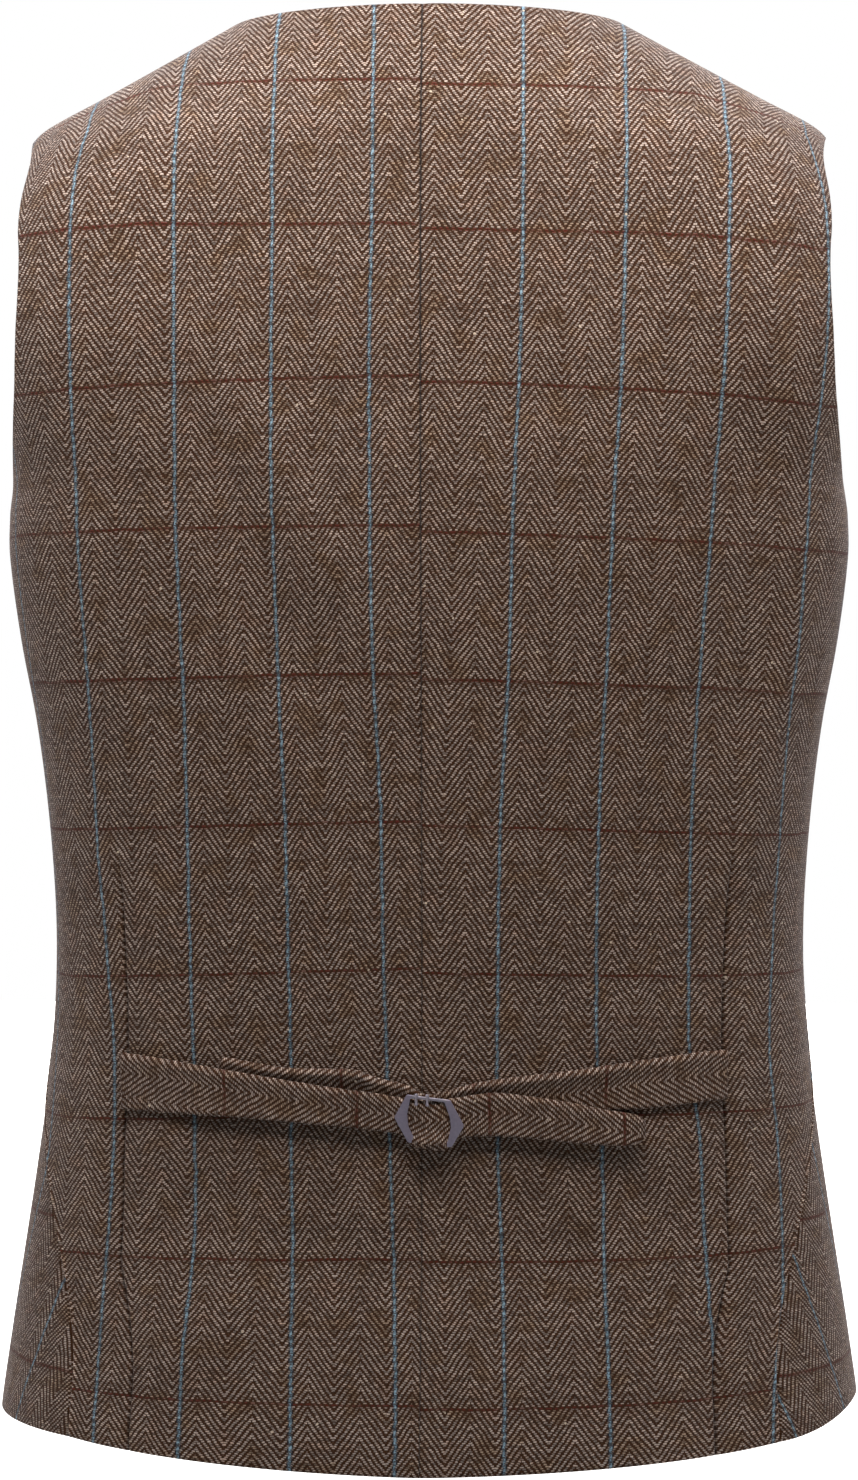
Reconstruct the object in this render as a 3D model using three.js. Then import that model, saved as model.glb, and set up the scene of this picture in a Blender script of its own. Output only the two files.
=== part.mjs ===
// A tweed suit waistcoat in the shape it has when worn, hollow, with no wearer in it: two back panels
// joined down the centre and darted to the hem, two plain fronts with a V neck, closed left over right,
// a waist strap in two halves across the back, its six-sided slide buckle, and the front buttons.
// Millimetres. +X is the wearer's right, +Y the way the wearer faces, +Z up.
// The origin is midway between the neck ends of the two shoulder seams, where the wearer holds it up.
import * as THREE from "three";

// Driving sizes
const WALL = 2; // the tweed, with its turnings
const SEAM = 0.3; // space between two pieces where they are joined
const SPARE = 0.1; // added to that space where one curved piece lies over another
const HEM_HEIGHT = -646; // the back hem, measured down from the neck ends of the shoulder seams
const SHOULDER_SEAM_Y = 8; // the shoulder seams lie a little ahead of the shoulder's crest
const LAP = 18; // how far each front runs past the centre front
const LAP_BLEND = 26; // width over which the under lap comes back to the outer surface
const LAP_SPARE = 4; // the under lap is at its full depth this far before the over lap's edge
const V_DEPTH = 258; // from the shoulder seam's neck end down to the foot of the V neck
const V_CURVE = 1.8; // how full the curve of the V neck is
const NECK_END_X = 85.2; // half the distance between the neck ends of the two shoulder seams
const FRONT_POINT_X = 38; // the pointed hem's corner, from the centre front
const FRONT_POINT_Z = -684; // and its height
const CUTAWAY_TOP_Z = -598; // the fronts part below this height
const CUTAWAY_CURVE = 1.2; // how late they part
const HEM_DROP_CURVE = 2.6; // how late the front hem turns down towards its point
const DART_GROOVE = 1; // how far the cloth is drawn in along a dart
const DART_TIP_Z = -368; // where a dart begins, above the waist
const DART_RAMP = 45; // length over which a dart comes to its full depth
const DART_REACH = 0.8; // the dart's column stays within this share of the way to the panel's edge
const STRAP_WALL = 2.2; // two layers of tweed, pressed
const STRAP_REST = 0.5; // from a back panel to the strap that lies on it

// The body of the garment, a row for each height: half width, depth behind and ahead of the side line,
// and how square the plan is (2 is an ellipse). Between the rows the values run smoothly.
const BODY = [
  { z: -696, half: 202, halfFront: 202, back: 139.5, front: 131, squareBack: 2.4, squareFront: 2.4 },
  { z: -646, half: 199.6, halfFront: 199.6, back: 134.5, front: 128.5, squareBack: 2.4, squareFront: 2.4 },
  { z: -604, half: 194.2, halfFront: 194.2, back: 121.5, front: 123, squareBack: 2.4, squareFront: 2.4 },
  { z: -566, half: 188.4, halfFront: 188.4, back: 110.5, front: 118, squareBack: 2.45, squareFront: 2.4 },
  { z: -529, half: 182.8, halfFront: 182.8, back: 103.8, front: 113.5, squareBack: 2.5, squareFront: 2.4 },
  { z: -491, half: 177.6, halfFront: 177.6, back: 101.5, front: 110, squareBack: 2.55, squareFront: 2.4 },
  { z: -454, half: 174.3, halfFront: 174.3, back: 102, front: 108, squareBack: 2.6, squareFront: 2.4 },
  { z: -426, half: 173.4, halfFront: 173.4, back: 103.5, front: 107.5, squareBack: 2.65, squareFront: 2.4 },
  { z: -398, half: 174.2, halfFront: 174.2, back: 105, front: 108, squareBack: 2.7, squareFront: 2.4 },
  { z: -360, half: 177.2, halfFront: 177.2, back: 106.5, front: 110, squareBack: 2.8, squareFront: 2.4 },
  { z: -323, half: 181.9, halfFront: 181.9, back: 109.5, front: 112.5, squareBack: 2.9, squareFront: 2.4 },
  { z: -286, half: 188.6, halfFront: 188.6, back: 113, front: 115, squareBack: 3, squareFront: 2.4 },
  { z: -248, half: 193.1, halfFront: 193.1, back: 116.5, front: 116, squareBack: 3.2, squareFront: 2.4 },
  { z: -229, half: 192.7, halfFront: 192.7, back: 118, front: 116, squareBack: 3.3, squareFront: 2.4 },
  { z: -213, half: 190.8, halfFront: 190, back: 119, front: 115.5, squareBack: 3.5, squareFront: 2.4 },
  { z: -181, half: 194.6, halfFront: 187, back: 120, front: 113.5, squareBack: 4.05, squareFront: 2.35 },
  { z: -146, half: 198.6, halfFront: 184, back: 120.3, front: 110, squareBack: 4.3, squareFront: 2.3 },
  { z: -111, half: 198, halfFront: 184, back: 118.6, front: 104, squareBack: 4, squareFront: 2.2 },
  { z: -91, half: 194.8, halfFront: 184, back: 117.3, front: 99, squareBack: 3.6, squareFront: 2.2 },
  { z: -71, half: 189.5, halfFront: 184, back: 115.5, front: 93, squareBack: 2.9, squareFront: 2.15 },
  { z: -58, half: 186.4, halfFront: 183, back: 114, front: 88, squareBack: 2.35, squareFront: 2.1 },
  { z: -50, half: 180.5, halfFront: 180.5, back: 112.6, front: 83, squareBack: 2.05, squareFront: 2.05 },
  { z: -38, half: 158.1, halfFront: 158.1, back: 109.5, front: 74, squareBack: 2, squareFront: 2 },
  { z: -25, half: 133.7, halfFront: 133.7, back: 105, front: 64, squareBack: 2, squareFront: 2 },
  { z: -12, half: 109.4, halfFront: 109.4, back: 99.5, front: 52, squareBack: 2, squareFront: 2 },
  { z: 0, half: 87, halfFront: 87, back: 93, front: 40, squareBack: 2, squareFront: 2 },
  { z: 6, half: 75.8, halfFront: 75.8, back: 88, front: 34, squareBack: 2, squareFront: 2 },
];

// The side seam, from the hem up to the underarm, seen from the side, with the heights that the same
// course of cloth has at the centre back and at the front edge.
const SIDE_SEAM = [
  { y: -94, z: -638.5, back: HEM_HEIGHT, front: FRONT_POINT_Z },
  { y: -80, z: -594, back: -594, front: -624 },
  { y: -62, z: -556, back: -556, front: -579 },
  { y: -38, z: -516, back: -517, front: -536 },
  { y: -18, z: -491, back: -493, front: -511 },
  { y: -7, z: -464, back: -467, front: -486 },
  { y: 0, z: -426, back: -430, front: -451 },
  { y: 3, z: -376, back: -382, front: -406 },
  { y: 4, z: -326, back: -334, front: -362 },
  { y: 5, z: -276, back: -290, front: -322 },
  { y: 5, z: -229, back: -250, front: -286 },
];

// The armhole, seen from the side, from the underarm up to the shoulder point.
const ARMHOLE_BACK = [
  { y: 5, z: -229, back: -250 },
  { y: -24, z: -225, back: -232 },
  { y: -52, z: -212, back: -212 },
  { y: -77, z: -190, back: -186 },
  { y: -90, z: -164, back: -161 },
  { y: -94, z: -137, back: -136 },
  { y: -88, z: -108, back: -111 },
  { y: -70, z: -79, back: -89 },
  { y: -40, z: -60, back: -73 },
  { y: SHOULDER_SEAM_Y, z: -50, back: -58 },
];
const ARMHOLE_FRONT = [
  { y: 5, z: -229, front: -286 },
  { y: 27, z: -222, front: -272 },
  { y: 42, z: -203, front: -V_DEPTH },
  { y: 52, z: -174, front: -218 },
  { y: 56.5, z: -144, front: -174 },
  { y: 56, z: -117, front: -132 },
  { y: 51, z: -92, front: -93 },
  { y: 42, z: -73, front: -60 },
  { y: 31, z: -60.5, front: -33 },
  { y: 20, z: -53.5, front: -13 },
  { y: SHOULDER_SEAM_Y, z: -50, front: 0 },
];

// The shoulder seam, from the shoulder point up to the neck.
const SHOULDER_BACK = [
  { y: SHOULDER_SEAM_Y, z: -50, back: -58 },
  { y: SHOULDER_SEAM_Y, z: -38, back: -45.5 },
  { y: SHOULDER_SEAM_Y, z: -25, back: -33 },
  { y: SHOULDER_SEAM_Y, z: -12.5, back: -20.5 },
  { y: SHOULDER_SEAM_Y, z: 0, back: -7.5 },
];

// Where the back dart runs, by height. Above its tip the row only guides the cloth's own columns.
const DART = [
  { z: -646, x: 137.8 },
  { z: -606, x: 137 },
  { z: -561, x: 135.7 },
  { z: -516, x: 134.5 },
  { z: -466, x: 133 },
  { z: -416, x: 134.3 },
  { z: -368, x: 136.3 },
  { z: -229, x: 136 },
  { z: -146, x: 132 },
  { z: -49, x: 122 },
  { z: -26, x: 92 },
  { z: 4, x: 61 },
];
// Columns of a back panel: 0 is the centre back seam, 1 the dart and 2 the outer edge.
const BACK_COLUMNS = [
  0, 0.09, 0.18, 0.27, 0.36, 0.45, 0.54, 0.63, 0.72, 0.81, 0.9, 0.97,
  1, 1.07, 1.2, 1.36, 1.52, 1.68, 1.84, 2,
];
const FRONT_COLUMNS = 15;
const SIDE_ROWS = 26;
const ARMHOLE_ROWS_BACK = 14;
const ARMHOLE_ROWS_FRONT = 20;
const SHOULDER_ROWS = 6;
// How late a course of the back turns from its height at the centre to that at the outer edge.
const BEND_AT_HEM = 1.3;
const BEND_ABOVE = 2.5;

// The largest folds of the worn cloth, each from one point to another, by the length of cloth from the
// centre back (the wearer's right is plus) and the height, with its half width and how far it stands
// out. A minus is a hollow. Those past 250 mm of cloth lie on the fronts.
const FOLDS = [
  { run: -97, z: -186, toRun: -52, toZ: -314, width: 12, out: -2.2 },
  { run: -82, z: -178, toRun: -34, toZ: -268, width: 13, out: 1.6 },
  { run: 147, z: -182, toRun: 144, toZ: -335, width: 22, out: -2.4 },
  { run: 178, z: -268, toRun: 144, toZ: -396, width: 13, out: 1.8 },
  { run: -60, z: -530, toRun: -104, toZ: -606, width: 20, out: 2 },
  { run: 74, z: -528, toRun: 98, toZ: -572, width: 16, out: 1.6 },
  { run: 54, z: -532, toRun: 40, toZ: -600, width: 14, out: -1.6 },
  { run: 352, z: -262, toRun: 410, toZ: -322, width: 15, out: -2 },
  { run: -344, z: -246, toRun: -402, toZ: -316, width: 14, out: -2.2 },
  { run: 326, z: -418, toRun: 402, toZ: -434, width: 14, out: 1.6 },
  { run: -314, z: -446, toRun: -396, toZ: -428, width: 14, out: 1.8 },
  { run: 296, z: -520, toRun: 342, toZ: -600, width: 19, out: 1.8 },
  { run: -288, z: -505, toRun: -350, toZ: -590, width: 18, out: 2 },
];
const FOLD_END = 0.3; // a fold runs out over this share of its length, half of it past its end points
const FOLD_WIDENS = 0.25; // a fold is this share narrower where it begins and wider where it ends

// The waist straps, a row for each station across the back: top and bottom edge, and how far the strap
// stands off the panel. The left strap passes over the right one, and its free end is rounded.
const OVER = STRAP_REST + STRAP_WALL + SEAM + SPARE;
const STRAP_LEFT = [
  { x: -134, top: -470.3, bottom: -495.6, lift: STRAP_REST },
  { x: -124, top: -471.2, bottom: -495.7, lift: STRAP_REST },
  { x: -110.3, top: -472.5, bottom: -495.8, lift: 1.4 },
  { x: -96, top: -474.3, bottom: -496, lift: OVER },
  { x: -85.5, top: -475.7, bottom: -496.3, lift: OVER },
  { x: -58.9, top: -479.6, bottom: -497.9, lift: OVER },
  { x: -39.2, top: -482.5, bottom: -499.4, lift: OVER },
  { x: -19.6, top: -485, bottom: -501.5, lift: OVER },
  { x: -6, top: -487.2, bottom: -503.4, lift: OVER },
  { x: 3.5, top: -488, bottom: -504.6, lift: OVER },
  { x: 14, top: -487, bottom: -504.6, lift: OVER },
  { x: 31.8, top: -484.6, bottom: -503.7, lift: OVER },
  { x: 47.9, top: -486.4, bottom: -504.7, lift: OVER },
  { x: 65.3, top: -489.3, bottom: -506.7, lift: OVER },
  { x: 78.4, top: -492.2, bottom: -507.9, lift: OVER },
  { x: 88, top: -493.8, bottom: -508.3, lift: OVER },
  { x: 93.5, top: -495.4, bottom: -507.3, lift: OVER },
  { x: 96.4, top: -498.6, bottom: -504.6, lift: OVER },
];
const STRAP_RIGHT = [
  { x: 133.7, top: -468, bottom: -490.1, lift: STRAP_REST },
  { x: 118.3, top: -468.9, bottom: -490.9, lift: STRAP_REST },
  { x: 91.6, top: -471.9, bottom: -492.9, lift: STRAP_REST },
  { x: 60.9, top: -475.9, bottom: -493.1, lift: STRAP_REST },
  { x: 31.8, top: -479.1, bottom: -494.2, lift: STRAP_REST },
  { x: 18.3, top: -481.9, bottom: -494.6, lift: STRAP_REST },
  { x: 10, top: -484.5, bottom: -495, lift: STRAP_REST },
  { x: 3.5, top: -485.8, bottom: -495.4, lift: STRAP_REST },
  { x: -1.3, top: -484.5, bottom: -495.4, lift: STRAP_REST },
  { x: -7, top: -481.5, bottom: -494.5, lift: STRAP_REST },
  { x: -20.9, top: -478, bottom: -492.8, lift: STRAP_REST },
  { x: -30.5, top: -475, bottom: -491.1, lift: STRAP_REST },
  { x: -58.9, top: -474.4, bottom: -488.8, lift: STRAP_REST },
  { x: -74.4, top: -472.4, bottom: -487.3, lift: STRAP_REST },
  { x: -86, top: -470.6, bottom: -485.2, lift: STRAP_REST },
  { x: -89.5, top: -472.6, bottom: -482.4, lift: STRAP_REST },
];
const STRAP_STEPS = 2; // lengths of cloth between two stations
const STRAP_COLUMNS = 3;

// The slide buckle, in its own plane, from its middle.
const BUCKLE = { x: 3.4, z: -496.7, thick: 1.4, bevel: 0.3 };
const BUCKLE_OUTLINE = [
  { x: -9.8, z: 11.3 },
  { x: -15.2, z: 1.3 },
  { x: -9.2, z: -9.6 },
  { x: 9.7, z: -11.6 },
  { x: 15.2, z: -2.3 },
  { x: 9.2, z: 9 },
];
const BUCKLE_WINDOW = [
  { x: -8.2, z: 9.6 },
  { x: -9.6, z: 2.6 },
  { x: -9, z: -2.8 },
  { x: -6.4, z: -7.6 },
  { x: 8.1, z: -9.2 },
  { x: 9.5, z: -2.8 },
  { x: 9, z: 1.4 },
  { x: 6.6, z: 8 },
];
const PRONG = { radius: 0.8, length: 4.2, sides: 10 };
const PRONGS = [
  { name: "buckle_prong_left", x: -5.6, z: 9.2 },
  { name: "buckle_prong_right", x: -0.8, z: 8.9 },
];

const BUTTON_HEIGHTS = [-280, -354, -428, -502, -576];
const BUTTON_SIDES = 16;
const BUTTON_PROFILE = [
  { r: 0, h: 0 },
  { r: 6.6, h: 0 },
  { r: 7.9, h: 1 },
  { r: 7.9, h: 2.3 },
  { r: 7, h: 3.1 },
  { r: 5.9, h: 3 },
  { r: 5.2, h: 2.4 },
  { r: 0, h: 2.4 },
];

const tweed = new THREE.MeshStandardMaterial({ color: 0x6b5244, roughness: 0.95, metalness: 0 });
const gunmetal = new THREE.MeshStandardMaterial({ color: 0x6e6978, roughness: 0.35, metalness: 0.9 });
const horn = new THREE.MeshStandardMaterial({ color: 0x3a2a20, roughness: 0.4, metalness: 0 });

const mix = (a, b, t) => a + (b - a) * t;
const clamp01 = (t) => Math.min(1, Math.max(0, t));
const ease = (t) => clamp01(t) ** 2 * (3 - 2 * clamp01(t));

// A smooth curve through one column of a table, read at the place that `knots` gives each row.
function smooth(table, column, knots, at) {
  const last = table.length - 1;
  let i = 0;
  while (i < last - 1 && at > knots[i + 1]) i++;
  const slope = (j) => {
    const before = Math.max(0, j - 1);
    const after = Math.min(last, j + 1);
    return (table[after][column] - table[before][column]) / (knots[after] - knots[before]);
  };
  const width = knots[i + 1] - knots[i];
  const t = (at - knots[i]) / width;
  const a = table[i][column];
  const b = table[i + 1][column];
  const inA = slope(i) * width;
  const inB = slope(i + 1) * width;
  return a + inA * t + (3 * (b - a) - 2 * inA - inB) * t ** 2 + (2 * (a - b) + inA + inB) * t ** 3;
}
const heightsOf = (table) => table.map((row) => row.z);
const BODY_KNOTS = heightsOf(BODY);
const DART_KNOTS = heightsOf(DART);
const bodyAt = (column, z) => smooth(BODY, column, BODY_KNOTS, z);
const dartX = (z) => smooth(DART, "x", DART_KNOTS, z);
// The same for a table whose rows are even steps of a share from 0 to 1.
function alongTable(table, column, share) {
  const knots = table.map((row, i) => i / (table.length - 1));
  return smooth(table, column, knots, share);
}

// Half of the plan at one height, from the centre back round the right side to the centre front, with
// the length of cloth up to each point.
const RING_STEPS = 120;
function ring(z) {
  const read = Object.fromEntries(Object.keys(BODY[0]).map((column) => [column, bodyAt(column, z)]));
  const points = [];
  let run = 0;
  for (let i = 0; i <= RING_STEPS; i++) {
    const turn = (Math.PI * i) / RING_STEPS;
    const behind = i <= RING_STEPS / 2;
    const square = behind ? read.squareBack : read.squareFront;
    const sine = Math.abs(Math.sin(turn));
    const cosine = Math.abs(Math.cos(turn));
    const reach = (sine ** square + cosine ** square) ** (-1 / square);
    const x = (behind ? read.half : read.halfFront) * reach * sine;
    const y = behind ? -read.back * reach * cosine : read.front * reach * cosine;
    if (i > 0) run += Math.hypot(x - points[i - 1].x, y - points[i - 1].y);
    points.push({ x, y, run });
  }
  return points;
}
// Length of cloth from the centre back to where a test on the ring's points first holds.
function runWhere(points, value, target, from) {
  for (let i = from + 1; i < points.length; i++) {
    const a = value(points[i - 1]) - target;
    const b = value(points[i]) - target;
    if (b >= 0) return mix(points[i - 1].run, points[i].run, clamp01(-a / (b - a)));
  }
  return points.at(-1).run;
}
const runAtDepth = (z, y) => runWhere(ring(z), (point) => point.y, y, 0);
const runAtBackWidth = (z, x) => runWhere(ring(z), (point) => point.x, x, 0);
function runAtFrontWidth(z, x) {
  const points = ring(z);
  const toFront = runWhere(points, (point) => -point.x, -Math.abs(x), RING_STEPS / 2);
  return x >= 0 ? toFront : 2 * points.at(-1).run - toFront;
}

// A point of the garment's outer surface, by its length of cloth from the centre back and its height.
function surfacePoint(run, z) {
  const points = ring(z);
  const whole = points.at(-1).run;
  const past = run > whole;
  const at = Math.abs(past ? 2 * whole - run : run);
  let i = 1;
  while (i < points.length - 1 && points[i].run < at) i++;
  const t = (at - points[i - 1].run) / (points[i].run - points[i - 1].run);
  const x = mix(points[i - 1].x, points[i].x, t);
  const y = mix(points[i - 1].y, points[i].y, t);
  return new THREE.Vector3(past || run < 0 ? -x : x, y, z);
}
const STEP = 1.5;
function surfaceNormal(run, z) {
  const across = surfacePoint(run + STEP, z).sub(surfacePoint(run - STEP, z));
  const up = surfacePoint(run, z + STEP).sub(surfacePoint(run, z - STEP));
  // Both differences are taken at one length of cloth, which serves for a direction.
  return across.cross(up).normalize();
}

// How far the folds move the cloth out, by its signed length from the centre back and its height.
function foldedOut(run, z) {
  return FOLDS.reduce((sum, fold) => {
    const length = Math.hypot(fold.toRun - fold.run, fold.toZ - fold.z);
    const alongRun = (fold.toRun - fold.run) / length;
    const alongZ = (fold.toZ - fold.z) / length;
    const share = ((run - fold.run) * alongRun + (z - fold.z) * alongZ) / length;
    const off = (z - fold.z) * alongRun - (run - fold.run) * alongZ;
    const width = fold.width * mix(1 - FOLD_WIDENS, 1 + FOLD_WIDENS, clamp01(share));
    const begins = ease((share + FOLD_END / 2) / FOLD_END);
    const ends = ease((1 - share + FOLD_END / 2) / FOLD_END);
    return sum + fold.out * begins * ends * Math.exp(-((off / width) ** 2));
  }, 0);
}

// A closed wall from a grid of points: each is { place, normal, out }, where out moves the outer face
// along the normal. A mirrored wall is the same on the wearer's left.
function wall(grid, thick, mirrored) {
  const rows = grid.length;
  const columns = grid[0].length;
  const vertices = [];
  for (const depth of [0, thick]) {
    for (const row of grid) {
      for (const { place, normal, out } of row) {
        const point = place.clone().addScaledVector(normal, out - depth);
        vertices.push(mirrored ? -point.x : point.x, point.y, point.z);
      }
    }
  }
  const index = [];
  const face = (a, b, c, d) => {
    if (mirrored) index.push(a, c, b, a, d, c);
    else index.push(a, b, c, a, c, d);
  };
  const outer = (i, j) => i * columns + j;
  const inner = (i, j) => rows * columns + i * columns + j;
  for (let i = 0; i < rows - 1; i++) {
    for (let j = 0; j < columns - 1; j++) {
      face(outer(i, j), outer(i, j + 1), outer(i + 1, j + 1), outer(i + 1, j));
      face(inner(i, j), inner(i + 1, j), inner(i + 1, j + 1), inner(i, j + 1));
    }
  }
  for (let i = 0; i < rows - 1; i++) {
    face(outer(i, 0), outer(i + 1, 0), inner(i + 1, 0), inner(i, 0));
    face(outer(i, columns - 1), inner(i, columns - 1), inner(i + 1, columns - 1), outer(i + 1, columns - 1));
  }
  for (let j = 0; j < columns - 1; j++) {
    face(outer(0, j), inner(0, j), inner(0, j + 1), outer(0, j + 1));
    face(outer(rows - 1, j), outer(rows - 1, j + 1), inner(rows - 1, j + 1), inner(rows - 1, j));
  }
  const geometry = new THREE.BufferGeometry();
  geometry.setAttribute("position", new THREE.Float32BufferAttribute(vertices, 3));
  geometry.setIndex(index);
  geometry.computeVertexNormals();
  return geometry;
}

// The courses of a panel, in even steps along each stretch of its outer edge: where the course meets
// that edge, and its height at the panel's other edge, which is the table's column `far`.
function courses(far, stretches) {
  const rows = [];
  stretches.forEach(({ table, count }, k) => {
    for (let i = k === 0 ? 0 : 1; i <= count; i++) {
      const read = (column) => alongTable(table, column, i / count);
      rows.push({ y: read("y"), z: read("z"), centre: read(far) });
    }
  });
  return rows;
}

function backPanel(mirrored) {
  const rows = courses("back", [
    { table: SIDE_SEAM, count: SIDE_ROWS },
    { table: ARMHOLE_BACK, count: ARMHOLE_ROWS_BACK },
    { table: SHOULDER_BACK, count: SHOULDER_ROWS },
  ]);
  const grid = rows.map((row, i) => {
    const bend = mix(BEND_AT_HEM, BEND_ABOVE, clamp01(i / SIDE_ROWS));
    const edge = runAtDepth(row.z, row.y) - SEAM / 2;
    const dartHeight = (row.centre + row.z) / 2;
    const dart = Math.min(runAtBackWidth(dartHeight, dartX(dartHeight)), DART_REACH * edge);
    return BACK_COLUMNS.map((column) => {
      const run = SEAM / 2 + (column <= 1 ? column * dart : mix(dart, edge, column - 1)) * (1 - SEAM / 2 / edge);
      const z = mix(row.centre, row.z, (run / edge) ** bend);
      const drawn = column === 1 ? DART_GROOVE * ease((DART_TIP_Z - z) / DART_RAMP) : 0;
      const out = foldedOut(mirrored ? -run : run, z) - drawn;
      return { place: surfacePoint(run, z), normal: surfaceNormal(run, z), out };
    });
  });
  return wall(grid, WALL, mirrored);
}

// The front edge, by height: the V neck, the straight lap, and the cutaway down to the hem's point.
function frontEdgeX(z) {
  if (z > -V_DEPTH) return -LAP + (NECK_END_X + LAP) * (1 - (-Math.min(z, 0) / V_DEPTH) ** V_CURVE);
  if (z > CUTAWAY_TOP_Z) return -LAP;
  const share = (CUTAWAY_TOP_Z - z) / (CUTAWAY_TOP_Z - FRONT_POINT_Z);
  return mix(-LAP, FRONT_POINT_X, share ** CUTAWAY_CURVE);
}

function frontPanel(mirrored, under) {
  const rows = courses("front", [
    { table: SIDE_SEAM, count: SIDE_ROWS },
    { table: ARMHOLE_FRONT, count: ARMHOLE_ROWS_FRONT },
  ]);
  // Each course as shares of the plan, from the side seam or armhole to the front edge.
  const lines = rows.map((row, i) => {
    const outer = (runAtDepth(row.z, row.y) + SEAM / 2) / ring(row.z).at(-1).run;
    const inner = runAtFrontWidth(row.centre, frontEdgeX(row.centre)) / ring(row.centre).at(-1).run;
    return Array.from({ length: FRONT_COLUMNS + 1 }, (_, j) => {
      const share = j / FRONT_COLUMNS;
      const sag = mix(share ** HEM_DROP_CURVE, share, clamp01(i / SIDE_ROWS));
      return { z: mix(row.z, row.centre, sag), around: mix(outer, inner, share) };
    });
  });
  // The top course is the shoulder seam, and the courses below it take up its curve.
  const seamCurve = lines.at(-1).map(({ z, around }) => {
    const seam = (runAtDepth(z, SHOULDER_SEAM_Y) + SEAM / 2) / ring(z).at(-1).run;
    return seam - around;
  });
  const grid = lines.map((line, i) => {
    const climb = clamp01((i - SIDE_ROWS) / ARMHOLE_ROWS_FRONT) ** 3;
    return line.map(({ z, around }, j) => {
      const whole = ring(z).at(-1).run;
      const run = (around + climb * seamCurve[j]) * whole;
      const lap = under ? ease((run - (whole - LAP - LAP_BLEND - LAP_SPARE)) / LAP_BLEND) : 0;
      const out = foldedOut(mirrored ? -run : run, z) - lap * (WALL + SEAM + SPARE);
      return { place: surfacePoint(run, z), normal: surfaceNormal(run, z), out };
    });
  });
  return wall(grid, WALL, mirrored);
}

// The back's outer surface by width and height, for what lies on it.
function onBack(x, z) {
  const run = Math.sign(x) * runAtBackWidth(z, Math.abs(x));
  const right = Math.abs(run);
  const place = surfacePoint(right, z);
  const normal = surfaceNormal(right, z);
  if (x < 0) {
    place.x *= -1;
    normal.x *= -1;
  }
  place.addScaledVector(normal, foldedOut(run, z));
  return { place, normal };
}

function strap(stations) {
  const count = (stations.length - 1) * STRAP_STEPS;
  const turned = stations.at(-1).x < stations[0].x;
  const grid = [];
  for (let i = 0; i <= count; i++) {
    const read = (column) => alongTable(stations, column, i / count);
    const line = [];
    for (let j = 0; j <= STRAP_COLUMNS; j++) {
      const { place, normal } = onBack(read("x"), mix(read("top"), read("bottom"), j / STRAP_COLUMNS));
      line.push({ place, normal, out: read("lift") + STRAP_WALL });
    }
    grid.push(turned ? line.reverse() : line);
  }
  return wall(grid, STRAP_WALL, false);
}

// What is fixed flat on the cloth: its own X stays level, its own Z stands out of the cloth.
function seat(mesh, place, normal, out) {
  const across = new THREE.Vector3(0, 0, 1).cross(normal).normalize();
  const up = normal.clone().cross(across);
  mesh.quaternion.setFromRotationMatrix(new THREE.Matrix4().makeBasis(across, up, normal));
  mesh.position.copy(place).addScaledVector(normal, out);
  return mesh;
}

function named(name, geometry, material) {
  const mesh = new THREE.Mesh(geometry, material);
  mesh.name = name;
  return mesh;
}

function buckleGeometry() {
  const flat = (points) => points.map(({ x, z }) => new THREE.Vector2(x, z));
  const shape = new THREE.Shape(flat(BUCKLE_OUTLINE));
  shape.holes.push(new THREE.Path(flat(BUCKLE_WINDOW)));
  return new THREE.ExtrudeGeometry(shape, {
    depth: BUCKLE.thick - 2 * BUCKLE.bevel,
    bevelEnabled: true,
    bevelSize: BUCKLE.bevel,
    bevelThickness: BUCKLE.bevel,
    bevelOffset: -BUCKLE.bevel,
    bevelSegments: 1,
  });
}

const waistcoat = new THREE.Group();
waistcoat.add(named("back_right", backPanel(false), tweed));
waistcoat.add(named("back_left", backPanel(true), tweed));
waistcoat.add(named("front_right", frontPanel(false, true), tweed));
waistcoat.add(named("front_left", frontPanel(true, false), tweed));
waistcoat.add(named("strap_right", strap(STRAP_RIGHT), tweed));
waistcoat.add(named("strap_left", strap(STRAP_LEFT), tweed));

const middle = onBack(BUCKLE.x, BUCKLE.z);
const buckleBase = OVER + STRAP_WALL + SEAM;
const buckle = named("buckle", buckleGeometry(), gunmetal);
waistcoat.add(seat(buckle, middle.place, middle.normal, buckleBase + BUCKLE.bevel));

for (const { name, x, z } of PRONGS) {
  const prong = new THREE.CylinderGeometry(PRONG.radius, PRONG.radius, PRONG.length, PRONG.sides);
  prong.translate(x, z, 0);
  const out = buckleBase + BUCKLE.thick + SEAM + PRONG.radius;
  waistcoat.add(seat(named(name, prong, gunmetal), middle.place, middle.normal, out));
}

BUTTON_HEIGHTS.forEach((z, i) => {
  const profile = BUTTON_PROFILE.map(({ r, h }) => new THREE.Vector2(r, h));
  const geometry = new THREE.LatheGeometry(profile, BUTTON_SIDES).rotateX(Math.PI / 2);
  const run = ring(z).at(-1).run;
  const button = named(`button_${i + 1}`, geometry, horn);
  waistcoat.add(seat(button, surfacePoint(run, z), surfaceNormal(run, z), SEAM));
});

export default waistcoat;
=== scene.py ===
import math

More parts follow.
